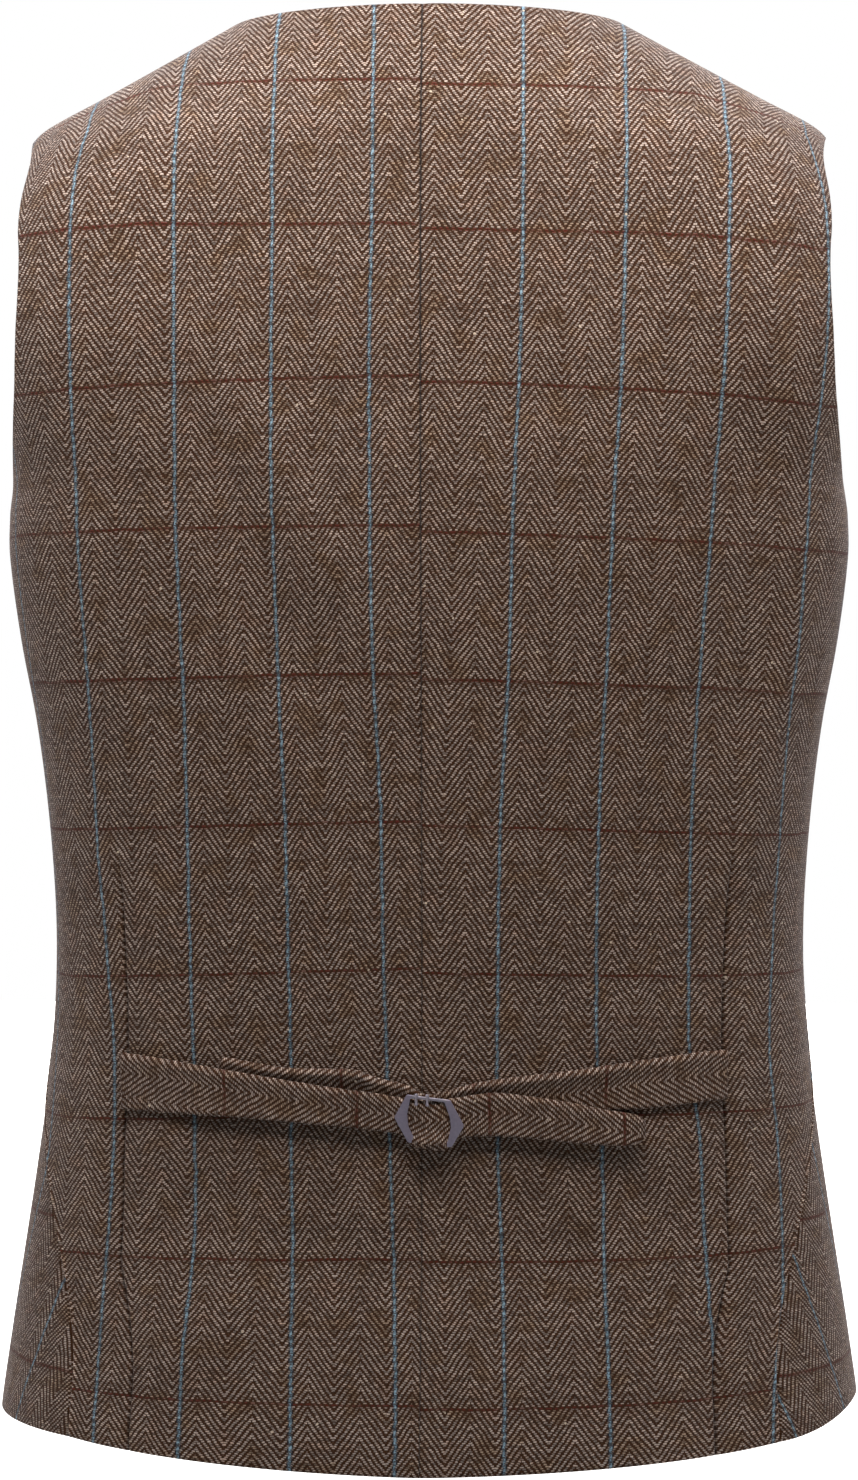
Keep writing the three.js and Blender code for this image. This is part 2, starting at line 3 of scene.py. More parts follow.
import bmesh
import bpy
import numpy as np
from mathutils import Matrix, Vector


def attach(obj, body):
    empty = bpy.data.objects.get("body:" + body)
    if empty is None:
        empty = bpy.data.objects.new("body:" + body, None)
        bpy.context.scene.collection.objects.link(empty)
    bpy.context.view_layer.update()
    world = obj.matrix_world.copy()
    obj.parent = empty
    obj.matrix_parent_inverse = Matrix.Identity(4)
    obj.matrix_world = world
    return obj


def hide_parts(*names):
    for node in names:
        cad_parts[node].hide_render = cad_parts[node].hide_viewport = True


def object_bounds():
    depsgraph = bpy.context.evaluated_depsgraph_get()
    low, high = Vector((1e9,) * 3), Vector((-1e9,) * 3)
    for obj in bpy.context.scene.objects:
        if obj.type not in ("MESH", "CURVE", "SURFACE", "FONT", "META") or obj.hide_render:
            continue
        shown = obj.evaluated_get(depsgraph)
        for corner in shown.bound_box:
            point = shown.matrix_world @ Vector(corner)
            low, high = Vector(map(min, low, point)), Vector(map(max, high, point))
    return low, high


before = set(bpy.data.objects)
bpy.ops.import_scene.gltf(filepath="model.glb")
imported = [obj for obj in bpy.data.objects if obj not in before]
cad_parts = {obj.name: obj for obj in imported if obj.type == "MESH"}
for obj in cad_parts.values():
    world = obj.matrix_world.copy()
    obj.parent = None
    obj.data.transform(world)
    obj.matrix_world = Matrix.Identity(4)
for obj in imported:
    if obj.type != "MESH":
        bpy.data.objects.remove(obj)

MM = 0.001
cad_box = [list(corner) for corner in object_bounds()]

# Camera, on the wearer's back, 1.5 m away and level with the middle of the ribs, as in the photograph:
# a long lens, a little to the wearer's right.
PHOTO = {"width": 858, "height": 1480, "focal": 3256, "middle_x": 430, "horizon_y": 700}
CAMERA = {"distance": 1.525, "height": -0.3135, "round_to_right": 2.0, "sensor": 36}


def in_scene(name, data):
    """An object that shows this data, in the scene."""
    made = bpy.data.objects.new(name, data)
    bpy.context.scene.collection.objects.link(made)
    return made


lens = bpy.data.cameras.new("camera")
lens.sensor_width = CAMERA["sensor"]
lens.lens = PHOTO["focal"] / PHOTO["height"] * CAMERA["sensor"]
lens.shift_x = (PHOTO["width"] / 2 - PHOTO["middle_x"]) / PHOTO["height"]
lens.shift_y = (PHOTO["horizon_y"] - PHOTO["height"] / 2) / PHOTO["height"]
camera = in_scene("camera", lens)
round_angle = math.radians(CAMERA["round_to_right"])
camera.location = (
    CAMERA["distance"] * math.sin(round_angle),
    -CAMERA["distance"] * math.cos(round_angle),
    CAMERA["height"],
)
camera.rotation_euler = (math.pi / 2, 0, round_angle)
bpy.context.scene.camera = camera


# Floor and light: a white floor before a white backdrop, whitened by a softbox of its own. Three long
# ones light the garment: a near one above the back, which leaves the waist darker, a cool one over the
# neck, and one before the chest.
FLOOR_GAP = 0.05
FLOOR_SIZE = 6
SOFTBOXES = [
    {
        "name": "close_above", "at": (0.03, -0.42, 0.33), "aim": (0.03, -0.1, -0.05),
        "size": (1.3, 0.3), "spread": 90, "watts": 3.6, "colour": "#fff3ec",
    },
    {
        "name": "over_the_neck", "at": (0.03, -0.2, 0.5), "aim": (0, 0, -0.3),
        "size": (1.5, 0.3), "spread": 180, "watts": 4.8, "colour": "#d8edff",
    },
    {
        "name": "before_the_chest", "at": (0, 0.6, 0.4), "aim": (0, 0, -0.3),
        "size": (1.3, 0.3), "spread": 180, "watts": 7, "colour": "#fff9f9",
    },
]
FLOOR_LIGHT = {"at": (0, 2.9, 1.0), "aim": (0, 2.9, 0), "size": (4.0, 1.6), "spread": 180, "watts": 200}
AMBIENT = 0.004
FLOOR_GLOW = 0.75


def linear(code):
    """The linear colour of an sRGB hex code, with an alpha of 1."""
    parts = [int(code[i : i + 2], 16) / 255 for i in (1, 3, 5)]
    return [*(p / 12.92 if p <= 0.04045 else ((p + 0.055) / 1.055) ** 2.4 for p in parts), 1.0]


def add(tree, kind, inputs=(), **settings):
    """One node, with its settings. Each input, by name or in order, is given a value, a socket to link,
    or a node whose first output is linked."""
    made = tree.nodes.new(kind)
    for name, value in settings.items():
        setattr(made, name, value)
    for key, value in inputs.items() if isinstance(inputs, dict) else enumerate(inputs):
        if isinstance(value, bpy.types.Node):
            value = value.outputs[0]
        if isinstance(value, bpy.types.NodeSocket):
            tree.links.new(value, made.inputs[key])
        else:
            made.inputs[key].default_value = value
    return made


def new_material(name, settings):
    """A material with one Principled BSDF, and its tree."""
    material = bpy.data.materials.new(name)
    material.use_nodes = True
    material.node_tree.nodes.clear()
    shader = add(material.node_tree, "ShaderNodeBsdfPrincipled", settings)
    add(material.node_tree, "ShaderNodeOutputMaterial", (shader,))
    return material, material.node_tree, shader


floor_mesh = bpy.data.meshes.new("floor")
reach, floor_z = FLOOR_SIZE / 2, cad_box[0][2] - FLOOR_GAP
corners = [(x * reach, y * reach, floor_z) for x, y in ((-1, -1), (1, -1), (1, 1), (-1, 1))]
floor_mesh.from_pydata(corners, [], [(0, 1, 2, 3)])
floor = in_scene("floor", floor_mesh)
floor_material, floor_tree, floor_shader = new_material(
    "painted_floor",
    {"Base Color": linear("#f6f5f3"), "Roughness": 0.9, "Emission Color": linear("#ffffff")},
)
# The floor's own white shows only to the camera, so that none of it lights the cloth.
seen = add(floor_tree, "ShaderNodeLightPath").outputs["Is Camera Ray"]
glow = add(floor_tree, "ShaderNodeMath", (seen, FLOOR_GLOW), operation="MULTIPLY")
floor_tree.links.new(glow.outputs[0], floor_shader.inputs["Emission Strength"])
floor_mesh.materials.append(floor_material)


def softbox(name, at, aim, size, spread, watts, colour):
    light = bpy.data.lights.new(name, "AREA")
    light.shape = "RECTANGLE"
    light.size, light.size_y = size
    light.spread = math.radians(spread)
    light.energy = watts
    light.color = linear(colour)[:3]
    lamp = in_scene(name, light)
    lamp.location = at
    lamp.rotation_euler = (Vector(aim) - Vector(at)).to_track_quat("-Z", "Y").to_euler()


for box in SOFTBOXES:
    softbox(**box)
softbox("for_the_floor", **FLOOR_LIGHT, colour="#ffffff")

world = bpy.data.worlds.new("studio")
bpy.context.scene.world = world
world.use_nodes = True
world.node_tree.nodes.clear()
seen = add(world.node_tree, "ShaderNodeLightPath").outputs["Is Camera Ray"]
strength = add(world.node_tree, "ShaderNodeMapRange", {"Value": seen, "To Min": AMBIENT, "To Max": 1.0})
backdrop = add(world.node_tree, "ShaderNodeBackground", {"Color": (1, 1, 1, 1), "Strength": strength})
add(world.node_tree, "ShaderNodeOutputWorld", (backdrop,))
bpy.context.scene.view_settings.view_transform = "Standard"


# Back: two panels of herringbone tweed, joined by the centre back seam, each with one long dart from
# above the waist to the hem, so that the cloth follows the back's hollow. The armhole, neck and hem
# edges are turned in and pressed. Lengths in this and the next sections are in millimetres.
WALL = 2.0
SEAM = -0.1
SHOULDER_SEAM_Y = 8
HEM_HEIGHT = -646
FRONT_POINT_Z = -684
V_DEPTH = 258


def table(columns, *rows):
    """Named columns, each an array, and `step`: the rows' even steps from 0 to 1."""
    made = {name: np.array(column, float) for name, column in zip(columns.split(), zip(*rows))}
    made["step"] = np.linspace(0, 1, len(rows))
    return made


# The body, by height: half width, depth behind and ahead of the side line, and how square the plan is.
BODY = table(
    "z half half_front back front square_back square_front",
    (-696, 202, 202, 139.5, 131, 2.4, 2.4),
    (-646, 199.6, 199.6, 134.5, 128.5, 2.4, 2.4),
    (-604, 194.2, 194.2, 121.5, 123, 2.4, 2.4),
    (-566, 188.4, 188.4, 110.5, 118, 2.45, 2.4),
    (-529, 182.8, 182.8, 103.8, 113.5, 2.5, 2.4),
    (-491, 177.6, 177.6, 101.5, 110, 2.55, 2.4),
    (-454, 174.3, 174.3, 102, 108, 2.6, 2.4),
    (-426, 173.4, 173.4, 103.5, 107.5, 2.65, 2.4),
    (-398, 174.2, 174.2, 105, 108, 2.7, 2.4),
    (-360, 177.2, 177.2, 106.5, 110, 2.8, 2.4),
    (-323, 181.9, 181.9, 109.5, 112.5, 2.9, 2.4),
    (-286, 188.6, 188.6, 113, 115, 3, 2.4),
    (-248, 193.1, 193.1, 116.5, 116, 3.2, 2.4),
    (-229, 192.7, 192.7, 118, 116, 3.3, 2.4),
    (-213, 190.8, 190, 119, 115.5, 3.5, 2.4),
    (-181, 194.6, 187, 120, 113.5, 4.05, 2.35),
    (-146, 198.6, 184, 120.3, 110, 4.3, 2.3),
    (-111, 198, 184, 118.6, 104, 4, 2.2),
    (-91, 194.8, 184, 117.3, 99, 3.6, 2.2),
    (-71, 189.5, 184, 115.5, 93, 2.9, 2.15),
    (-58, 186.4, 183, 114, 88, 2.35, 2.1),
    (-50, 180.5, 180.5, 112.6, 83, 2.05, 2.05),
    (-38, 158.1, 158.1, 109.5, 74, 2, 2),
    (-25, 133.7, 133.7, 105, 64, 2, 2),
    (-12, 109.4, 109.4, 99.5, 52, 2, 2),
    (0, 87, 87, 93, 40, 2, 2),
    (6, 75.8, 75.8, 88, 34, 2, 2),
)
# The side seam from the hem up to the underarm, with the height that each course of cloth has at the
# centre back and at the front edge.
SIDE_SEAM = table(
    "y z back front",
    (-94, -638.5, HEM_HEIGHT, FRONT_POINT_Z),
    (-80, -594, -594, -624),
    (-62, -556, -556, -579),
    (-38, -516, -517, -536),
    (-18, -491, -493, -511),
    (-7, -464, -467, -486),
    (0, -426, -430, -451),
    (3, -376, -382, -406),
    (4, -326, -334, -362),
    (5, -276, -290, -322),
    (5, -229, -250, -286),
)
ARMHOLE_BACK = table(
    "y z back",
    (5, -229, -250),
    (-24, -225, -232),
    (-52, -212, -212),
    (-77, -190, -186),
    (-90, -164, -161),
    (-94, -137, -136),
    (-88, -108, -111),
    (-70, -79, -89),
    (-40, -60, -73),
    (SHOULDER_SEAM_Y, -50, -58),
)
SHOULDER_BACK = table(
    "y z back",
    (SHOULDER_SEAM_Y, -50, -58),
    (SHOULDER_SEAM_Y, -38, -45.5),
    (SHOULDER_SEAM_Y, -25, -33),
    (SHOULDER_SEAM_Y, -12.5, -20.5),
    (SHOULDER_SEAM_Y, 0, -7.5),
)
# Where the back dart runs. Above its tip the row only guides the columns of the mesh.
DART = table(
    "z x",
    (-646, 137.8),
    (-606, 137),
    (-561, 135.7),
    (-516, 134.5),
    (-466, 133),
    (-416, 134.3),
    (-368, 136.3),
    (-229, 136),
    (-146, 132),
    (-49, 122),
    (-26, 92),
    (4, 61),
)
DART_TIP_Z = -368
DART_RAMP = 45
DART_REACH = 0.8
BEND_AT_HEM = 1.3
BEND_ABOVE = 2.5


def smooth(rows, column, at, along="z"):
    """A smooth curve through one column of a table."""
    knots, values = rows[along], rows[column]
    at = np.asarray(at, float)
    last = len(knots) - 1
    i = np.searchsorted(knots[1:-1], at, side="left")
    before = np.maximum(np.arange(last + 1) - 1, 0)
    after = np.minimum(np.arange(last + 1) + 1, last)
    slopes = (values[after] - values[before]) / (knots[after] - knots[before])
    width = knots[i + 1] - knots[i]
    t = (at - knots[i]) / width
    a, b = values[i], values[i + 1]
    lead_a, lead_b = slopes[i] * width, slopes[i + 1] * width
    square, cube = 3 * (b - a) - 2 * lead_a - lead_b, 2 * (a - b) + lead_a + lead_b
    return a + lead_a * t + square * t**2 + cube * t**3


RING_STEPS = 120


def ring(z):
    """Half of the plan at each height, from the centre back round to the centre front: x, y, length."""
    z = np.asarray(z, float).reshape(-1, 1)
    turn = np.linspace(0, math.pi, RING_STEPS + 1)[None, :]
    behind = turn <= math.pi / 2 + 1e-9
    read = {name: smooth(BODY, name, z) for name in BODY if name not in ("z", "step")}
    square = np.where(behind, read["square_back"], read["square_front"])
    sine, cosine = np.abs(np.sin(turn)), np.abs(np.cos(turn))
    out = (sine**square + cosine**square) ** (-1 / square)
    x = np.where(behind, read["half"], read["half_front"]) * out * sine
    y = np.where(behind, -read["back"], read["front"]) * out * cosine
    length = np.cumsum(np.hypot(np.diff(x, axis=1), np.diff(y, axis=1)), axis=1)
    return x, y, np.concatenate([np.zeros_like(z), length], axis=1)


def run_where(z, values_of, target, first=0):
    """Length of cloth from the centre back to where a value of the ring first reaches its target."""
    x, y, run = ring(z)
    values = values_of(x, y)
    reached = values >= np.asarray(target, float).reshape(-1, 1)
    reached[:, : first + 1] = False
    reached[:, -1] = True
    i = reached.argmax(axis=1)
    row = np.arange(len(i))
    a, b = values[row, i - 1] - np.ravel(target), values[row, i] - np.ravel(target)
    share = np.clip(-a / np.where(b == a, 1, b - a), 0, 1)
    return run[row, i - 1] + share * (run[row, i] - run[row, i - 1])


def run_at_depth(z, y):
    return run_where(z, lambda px, py: py, y)


def run_at_back_width(z, x):
    return run_where(z, lambda px, py: px, x)


def run_at_front_width(z, x):
    to_front = run_where(z, lambda px, py: -px, -np.abs(x), first=RING_STEPS // 2)
    return np.where(x >= 0, to_front, 2 * ring(z)[2][:, -1] - to_front)


def surface(run, z):
    """Points of the garment's outer surface, by length of cloth from the centre back, and height."""
    shape = np.shape(z)
    run, z = np.ravel(run), np.ravel(z)
    x, y, length = ring(z)
    whole = length[:, -1]
    past = run > whole
    at = np.abs(np.where(past, 2 * whole - run, run))
    i = np.clip((length < at[:, None]).sum(axis=1), 1, RING_STEPS)
    row = np.arange(len(i))
    t = (at - length[row, i - 1]) / (length[row, i] - length[row, i - 1])
    px = x[row, i - 1] + t * (x[row, i] - x[row, i - 1])
    py = y[row, i - 1] + t * (y[row, i] - y[row, i - 1])
    px = np.where(past | (run < 0), -px, px)
    return np.stack([px, py, z], axis=-1).reshape(*shape, 3)


def bell(off, half):
    """A soft hump, 1 in its middle."""
    return np.exp(-((off / half) ** 2))


def unit(v):
    return v / np.linalg.norm(v, axis=-1, keepdims=True)


def normal(run, z, step=1.5):
    across = surface(run + step, z) - surface(run - step, z)
    up = surface(run, z + step) - surface(run, z - step)
    return unit(np.cross(across, up))


def ease(t):
    t = np.clip(t, 0, 1)
    return t * t * (3 - 2 * t)


# Creases and swellings of the worn cloth, one by one: from one point to the other, by the signed
# length of cloth from the centre back (right is plus) and the height; width and height of the ridge,
# where a minus is a trough.
CREASES = table(
    "run z to_run to_z width out",
    (-97, -186, -52, -314, 12, -2.2),
    (-82, -178, -34, -268, 13, 1.6),
    (147, -182, 144, -335, 22, -2.4),
    (178, -268, 144, -396, 13, 1.8),
    (-60, -530, -104, -606, 20, 2),
    (74, -528, 98, -572, 16, 1.6),
    (54, -532, 40, -600, 14, -1.6),
    (352, -262, 410, -322, 15, -2),
    (-344, -246, -402, -316, 14, -2.2),
    (326, -418, 402, -434, 14, 1.6),
    (-314, -446, -396, -428, 14, 1.8),
    (296, -520, 342, -600, 19, 1.8),
    (-288, -505, -350, -590, 18, 2),
    (-140, -262, -110, -330, 12, -0.7),
    (-20, -170, -14, -262, 15, -0.6),
    (52, -190, 66, -270, 14, 0.7),
    (96, -250, 80, -330, 15, -0.6),
    (-92, -400, -30, -426, 12, -0.7),
    (118, -412, 60, -440, 12, -0.7),
    (-22, -514, 60, -512, 14, 1.2),
    (-126, -504, -34, -512, 17, 2.0),
    (62, -510, 132, -502, 17, 1.9),
    (-130, -550, -32, -558, 24, -2.6),
    (-18, -562, 52, -554, 22, -2.1),
    (58, -556, 128, -548, 24, -2.8),
    (-36, -534, -2, -541, 12, 1.3),
    (44, -538, 74, -546, 12, 1.4),
    (-14, -560, -22, -622, 13, -0.9),
    (-142, -530, -152, -622, 12, -0.8),
    (112, -590, 130, -638, 15, -0.8),
    (4, -560, 22, -640, 12, 0.7),
    (372, -470, 320, -520, 13, -0.7),
    (-378, -486, -330, -540, 14, -0.8),
    (300, -330, 262, -400, 15, 0.7),
    (-270, -300, -300, -380, 15, -0.7),
)
FOLD_END = 0.3
FOLD_WIDENS = 0.25


def creased(run, z):
    """How far the creases move the cloth out of its smooth form."""
    moved = np.zeros_like(z)
    for fold_run, fold_z, to_run, to_z, width, out in zip(*(CREASES[c] for c in CREASES if c != "step")):
        length = math.hypot(to_run - fold_run, to_z - fold_z)
        along_run, along_z = (to_run - fold_run) / length, (to_z - fold_z) / length
        share = ((run - fold_run) * along_run + (z - fold_z) * along_z) / length
        off = (z - fold_z) * along_run - (run - fold_run) * along_z
        spread = width * (1 - FOLD_WIDENS + 2 * FOLD_WIDENS * np.clip(share, 0, 1))
        ends = ease((share + FOLD_END / 2) / FOLD_END) * ease((1 - share + FOLD_END / 2) / FOLD_END)
        moved += out * ends * bell(off, spread)
    return moved


# The check's own lines on the back, by height: how far each blue line lies from the centre back, first
# on the wearer's left and then on the right. The centre back seam, the dart and the flare shift them.
BLUE_REPEAT = 43.5
BLUE_LINES = table(
    "z left_1 left_2 left_3 left_4 right_1 right_2 right_3 right_4",
    (-690, 10.5, 55.5, 106.5, 150, 36, 82.5, 133, 160),
    (-616, 10.6, 55.9, 105.9, 149, 36.3, 82.1, 131.8, 161.5),
    (-576, 11.5, 56.5, 103.1, 147, 35.8, 80.5, 128.6, 167.5),
    (-513, 13.8, 57, 100.7, 143, 33.3, 78.8, 124, 167),
    (-470, 15.4, 57.6, 102.2, 143.4, 32.9, 76.8, 119, 163.3),
    (-427, 16.9, 58.7, 103.5, 147.6, 33.3, 76.7, 118.9, 166),
    (-362, 17.8, 59.9, 104.2, 152.4, 34.6, 77.6, 119.6, 169.4),
    (-297, 21, 62.9, 105.4, 153.2, 38.2, 80.9, 123, 172.6),
    (-231, 22, 64.4, 107.2, 153.5, 40, 83.4, 127.6, 180),
    (-166, 22.1, 64.6, 107, 152.2, 43, 87, 131.8, 181.3),
    (-101, 21, 64.3, 107.5, 152.2, 44.4, 88.8, 134.4, 186),
    (-50, 21, 64.7, 108.8, 154, 44.4, 89.8, 137, 189),
)
SEAM_CLEAR = 1.6
# Cloth that lies between two blue lines where a dart takes some of it: surface length for one of cloth.
OUTER_STRETCH = {"left": 1.1, "right": 1.14}
# The rust lines, by their height at the centre back and 135 mm round from it, on each side.
RUST_REPEAT = 64.4
RUST_REACH = 135
RUST_BEND = {"past": 1.3, "power": 1.3}
RUST_LINES = table(
    "n left left_side right right_side",
    (-10, -616.8, -618, -618.5, -617),
    (-9, -556.8, -560, -558, -557.5),
    (-8, -493.5, -500, -494.5, -496),
    (-7, -431, -436.5, -433, -435.5),
    (-6, -366.5, -370.5, -368.5, -372.5),
    (-5, -302, -304.7, -304.6, -309),
    (-4, -238, -239.3, -241, -245.6),
    (-3, -173.5, -177, -176, -182),
    (-2, -107, -108.5, -109.5, -114.5),
    (-1, -42.5, -38, -44.5, -45),
)


def straight(knots, values, at):
    """Reads `values` at `at` between knots, and goes on straight past the ends. One row of knots each."""
    i = np.clip((knots < at[:, None]).sum(axis=1) - 1, 0, knots.shape[1] - 2)
    row = np.arange(len(i))
    a, b = knots[row, i], knots[row, i + 1]
    t = (at - a) / (b - a)
    return values[row, i] * (1 - t) + values[row, i + 1] * t


def cloth_across(side, run, z):
    """The cloth's own length from a blue line, across the back, and what the dart takes beyond it."""
    name = "right" if side > 0 else "left"
    z = np.clip(z, BLUE_LINES["z"][0], BLUE_LINES["z"][-1])
    lines = np.stack([smooth(BLUE_LINES, f"{name}_{k}", z) for k in (1, 2, 3, 4)], axis=1)
    inner = lines[:, 2] + BLUE_REPEAT * OUTER_STRETCH[name]
    knots = np.concatenate([np.zeros((len(z), 1)), lines[:, :3], inner[:, None]], axis=1)
    cloth = np.tile(np.arange(5) * BLUE_REPEAT, (len(z), 1))
    cloth[:, 0] = np.maximum(BLUE_REPEAT - lines[:, 0], SEAM_CLEAR)
    taken = np.maximum((inner - lines[:, 3]) / OUTER_STRETCH[name], 0)
    return straight(knots, cloth, run), taken


def cloth_up(side, run, z):
    """The cloth's own height, with a rust line at each whole RUST_REPEAT."""
    name = "right" if side > 0 else "left"
    share = np.clip(run / RUST_REACH, 0, RUST_BEND["past"])[:, None] ** RUST_BEND["power"]
    heights = RUST_LINES[name][None, :] * (1 - share) + RUST_LINES[name + "_side"][None, :] * share
    cloth = np.tile(RUST_LINES["n"] * RUST_REPEAT, (len(z), 1))
    return straight(heights, cloth, z)


def steps(count, fine_start=(), fine_end=()):
    """Even steps from 0 to 1, with finer ones given from either end."""
    start = fine_start[-1] if len(fine_start) else 0
    end = fine_end[-1] if len(fine_end) else 0
    middle = np.linspace(start, 1 - end, count + 1)
    ends = [1 - f for f in reversed(fine_end[:-1])] if len(fine_end) else []
    return np.unique(np.round([*([0] if start else []), *fine_start[:-1], *middle, *ends, 1], 6))


def courses(far, stretches):
    """The courses of a panel: where each meets the panel's outer edge, its height there and at the far
    edge, and how far up the stretches it lies: 0 to 1 on the first, 1 to 2 on the second."""
    read = {"y": [], "z": [], far: []}
    reached = []
    for k, (rows, at) in enumerate(stretches):
        at = at if k == 0 else at[1:]
        reached.append(k + at)
        for column in read:
            read[column].append(smooth(rows, column, at, along="step"))
    return [np.concatenate(read[column]) for column in ("y", "z", far)] + [np.concatenate(reached)]


def corners_of(grid):
    """The values at the four corners of each face of a grid, along its third axis."""
    return np.stack([grid[:-1, :-1], grid[:-1, 1:], grid[1:, 1:], grid[1:, :-1]], axis=2)


def smooth_piece(name, points, faces):
    """A smooth-shaded mesh object, from points in millimetres."""
    mesh = bpy.data.meshes.new(name)
    mesh.from_pydata((points * MM).tolist(), [], faces.tolist())
    mesh.polygons.foreach_set("use_smooth", np.ones(len(faces), bool))
    mesh.update()
    return in_scene(name, mesh)


def panel_mesh(name, place, out_way, thick, rim, uv, uv_jump=0, shade=None, mirrored=False):
    """A closed shell on a grid of points: `rim` is how far each point lies into the rounded edge, from
    0 inside to 1 on the border, where the outer and the inner side meet. `shade` is painted shade, how
    much the cloth's colour is darkened where it turns into a seam, and less than 0 for a painted
    highlight on a pressed edge."""
    drop = thick / 2 * (1 - np.sqrt(np.clip(1 - rim**2, 0, 1)))[..., None]
    outer = place - out_way * drop
    inner = place - out_way * (thick - drop)
    inside = np.zeros(rim.shape, bool)
    inside[1:-1, 1:-1] = True
    outer_id = np.arange(rim.size).reshape(rim.shape)
    inner_id = outer_id.copy()
    inner_id[inside] = rim.size + np.arange(inside.sum())
    points = np.concatenate([outer.reshape(-1, 3), inner[inside]])
    if mirrored:
        points = points * [-1, 1, 1]
    quads = [corners_of(outer_id), corners_of(inner_id)]
    places = [corners_of(uv) + uv_jump] * 2
    turned = 0 if mirrored else 1
    quads[turned] = quads[turned][..., ::-1]
    places[turned] = places[turned][..., ::-1, :]
    piece = smooth_piece(name, points, np.concatenate(quads).reshape(-1, 4))
    layer = piece.data.uv_layers.new(name="weave")
    layer.data.foreach_set("uv", np.concatenate(places).astype("f").ravel())
    if shade is not None:
        darker = piece.data.attributes.new("seam_shade", "FLOAT", "POINT")
        darker.data.foreach_set("value", np.concatenate([shade.ravel(), shade[inside]]).astype("f"))
    return piece


def along_from(place, backwards=False):
    """Length from the first course of a grid of points, or from the last one, up each column."""
    length = np.linalg.norm(np.diff(place, axis=0), axis=-1)
    length = np.concatenate([np.zeros((1, place.shape[1])), np.cumsum(length, axis=0)])
    return length[-1:] - length if backwards else length


def rim_of(place, *from_sides):
    """How far each point lies into a rounded edge: at the hem, at the top, and at the sides, by the
    distance from each in radii of its edge."""
    distances = [along_from(place) / ROUND_EDGE, along_from(place, True) / ROUND_EDGE, *from_sides]
    return np.clip(1 - np.minimum.reduce(distances), 0, 1)


# Edges are rounded over this radius, seams less. A seam sinks in beside its stitches, and so does a dart,
# in a sharp groove and a wide hollow. `SEAM_SHADE` is painted shade down in them: how much darker the
# cloth's colour is made there, and, as `shine`, a painted highlight that pales the back's pressed edge.
ROUND_EDGE = 1.0
ROUND_SEAM = 0.45
SEAM_DIP = {"depth": 0.35, "width": 2.4}
DART_GROOVE = {"deep": 1.5, "half": 0.6}
SEAM_SHADE = {
    "half": 0.55, "centre": 0.28, "centre_top": 0.62, "fades_from": -520, "dart": 0.42, "shine": 0.5,
}
DART_DRAW = {"deep": 0.9, "half": 7}
SIDE_RIDGE = {"in": 1.3, "half": 0.9, "out": 0.9}
# Finer steps of the panels' grids beside their edges and the dart, as shares of their stretch.
HEM_FINE = (0.0004, 0.0012, 0.0024, 0.005)
TOP_FINE = (0.002, 0.006, 0.012, 0.022)
CENTRE_FINE = (0.0016, 0.0034, 0.006, 0.01, 0.016)
BEFORE_DART_FINE = (0.0015, 0.0035, 0.006, 0.01, 0.018)
PAST_DART_FINE = (0.0027, 0.006, 0.011, 0.019, 0.03)
SIDE_FINE = (0.002, 0.005, 0.011, 0.018, 0.026, 0.036)
SHOULDER_REFERENCE = -60
CLIMB_FROM = -120
CLIMB_UPRIGHT = 0.3
SHOULDER_LESS = {"share": 0.12, "at": 100, "most": 1.2}


def climb(place, way, start):
    """The cloth's height carried on over the shoulder, from the course `start` up each column."""
    step = np.diff(place, axis=0)
    level = np.array([1.0, 0, 0])
    upright = np.array([0, 0, 1.0]) - way[..., 2:] * way
    up = unit(np.cross(way, level) + CLIMB_UPRIGHT * upright)
    rise = ((up[1:] + up[:-1]) / 2 * step).sum(axis=-1)
    rise[:start] = 0
    return np.concatenate([np.zeros((1, place.shape[1])), np.cumsum(rise, axis=0)])


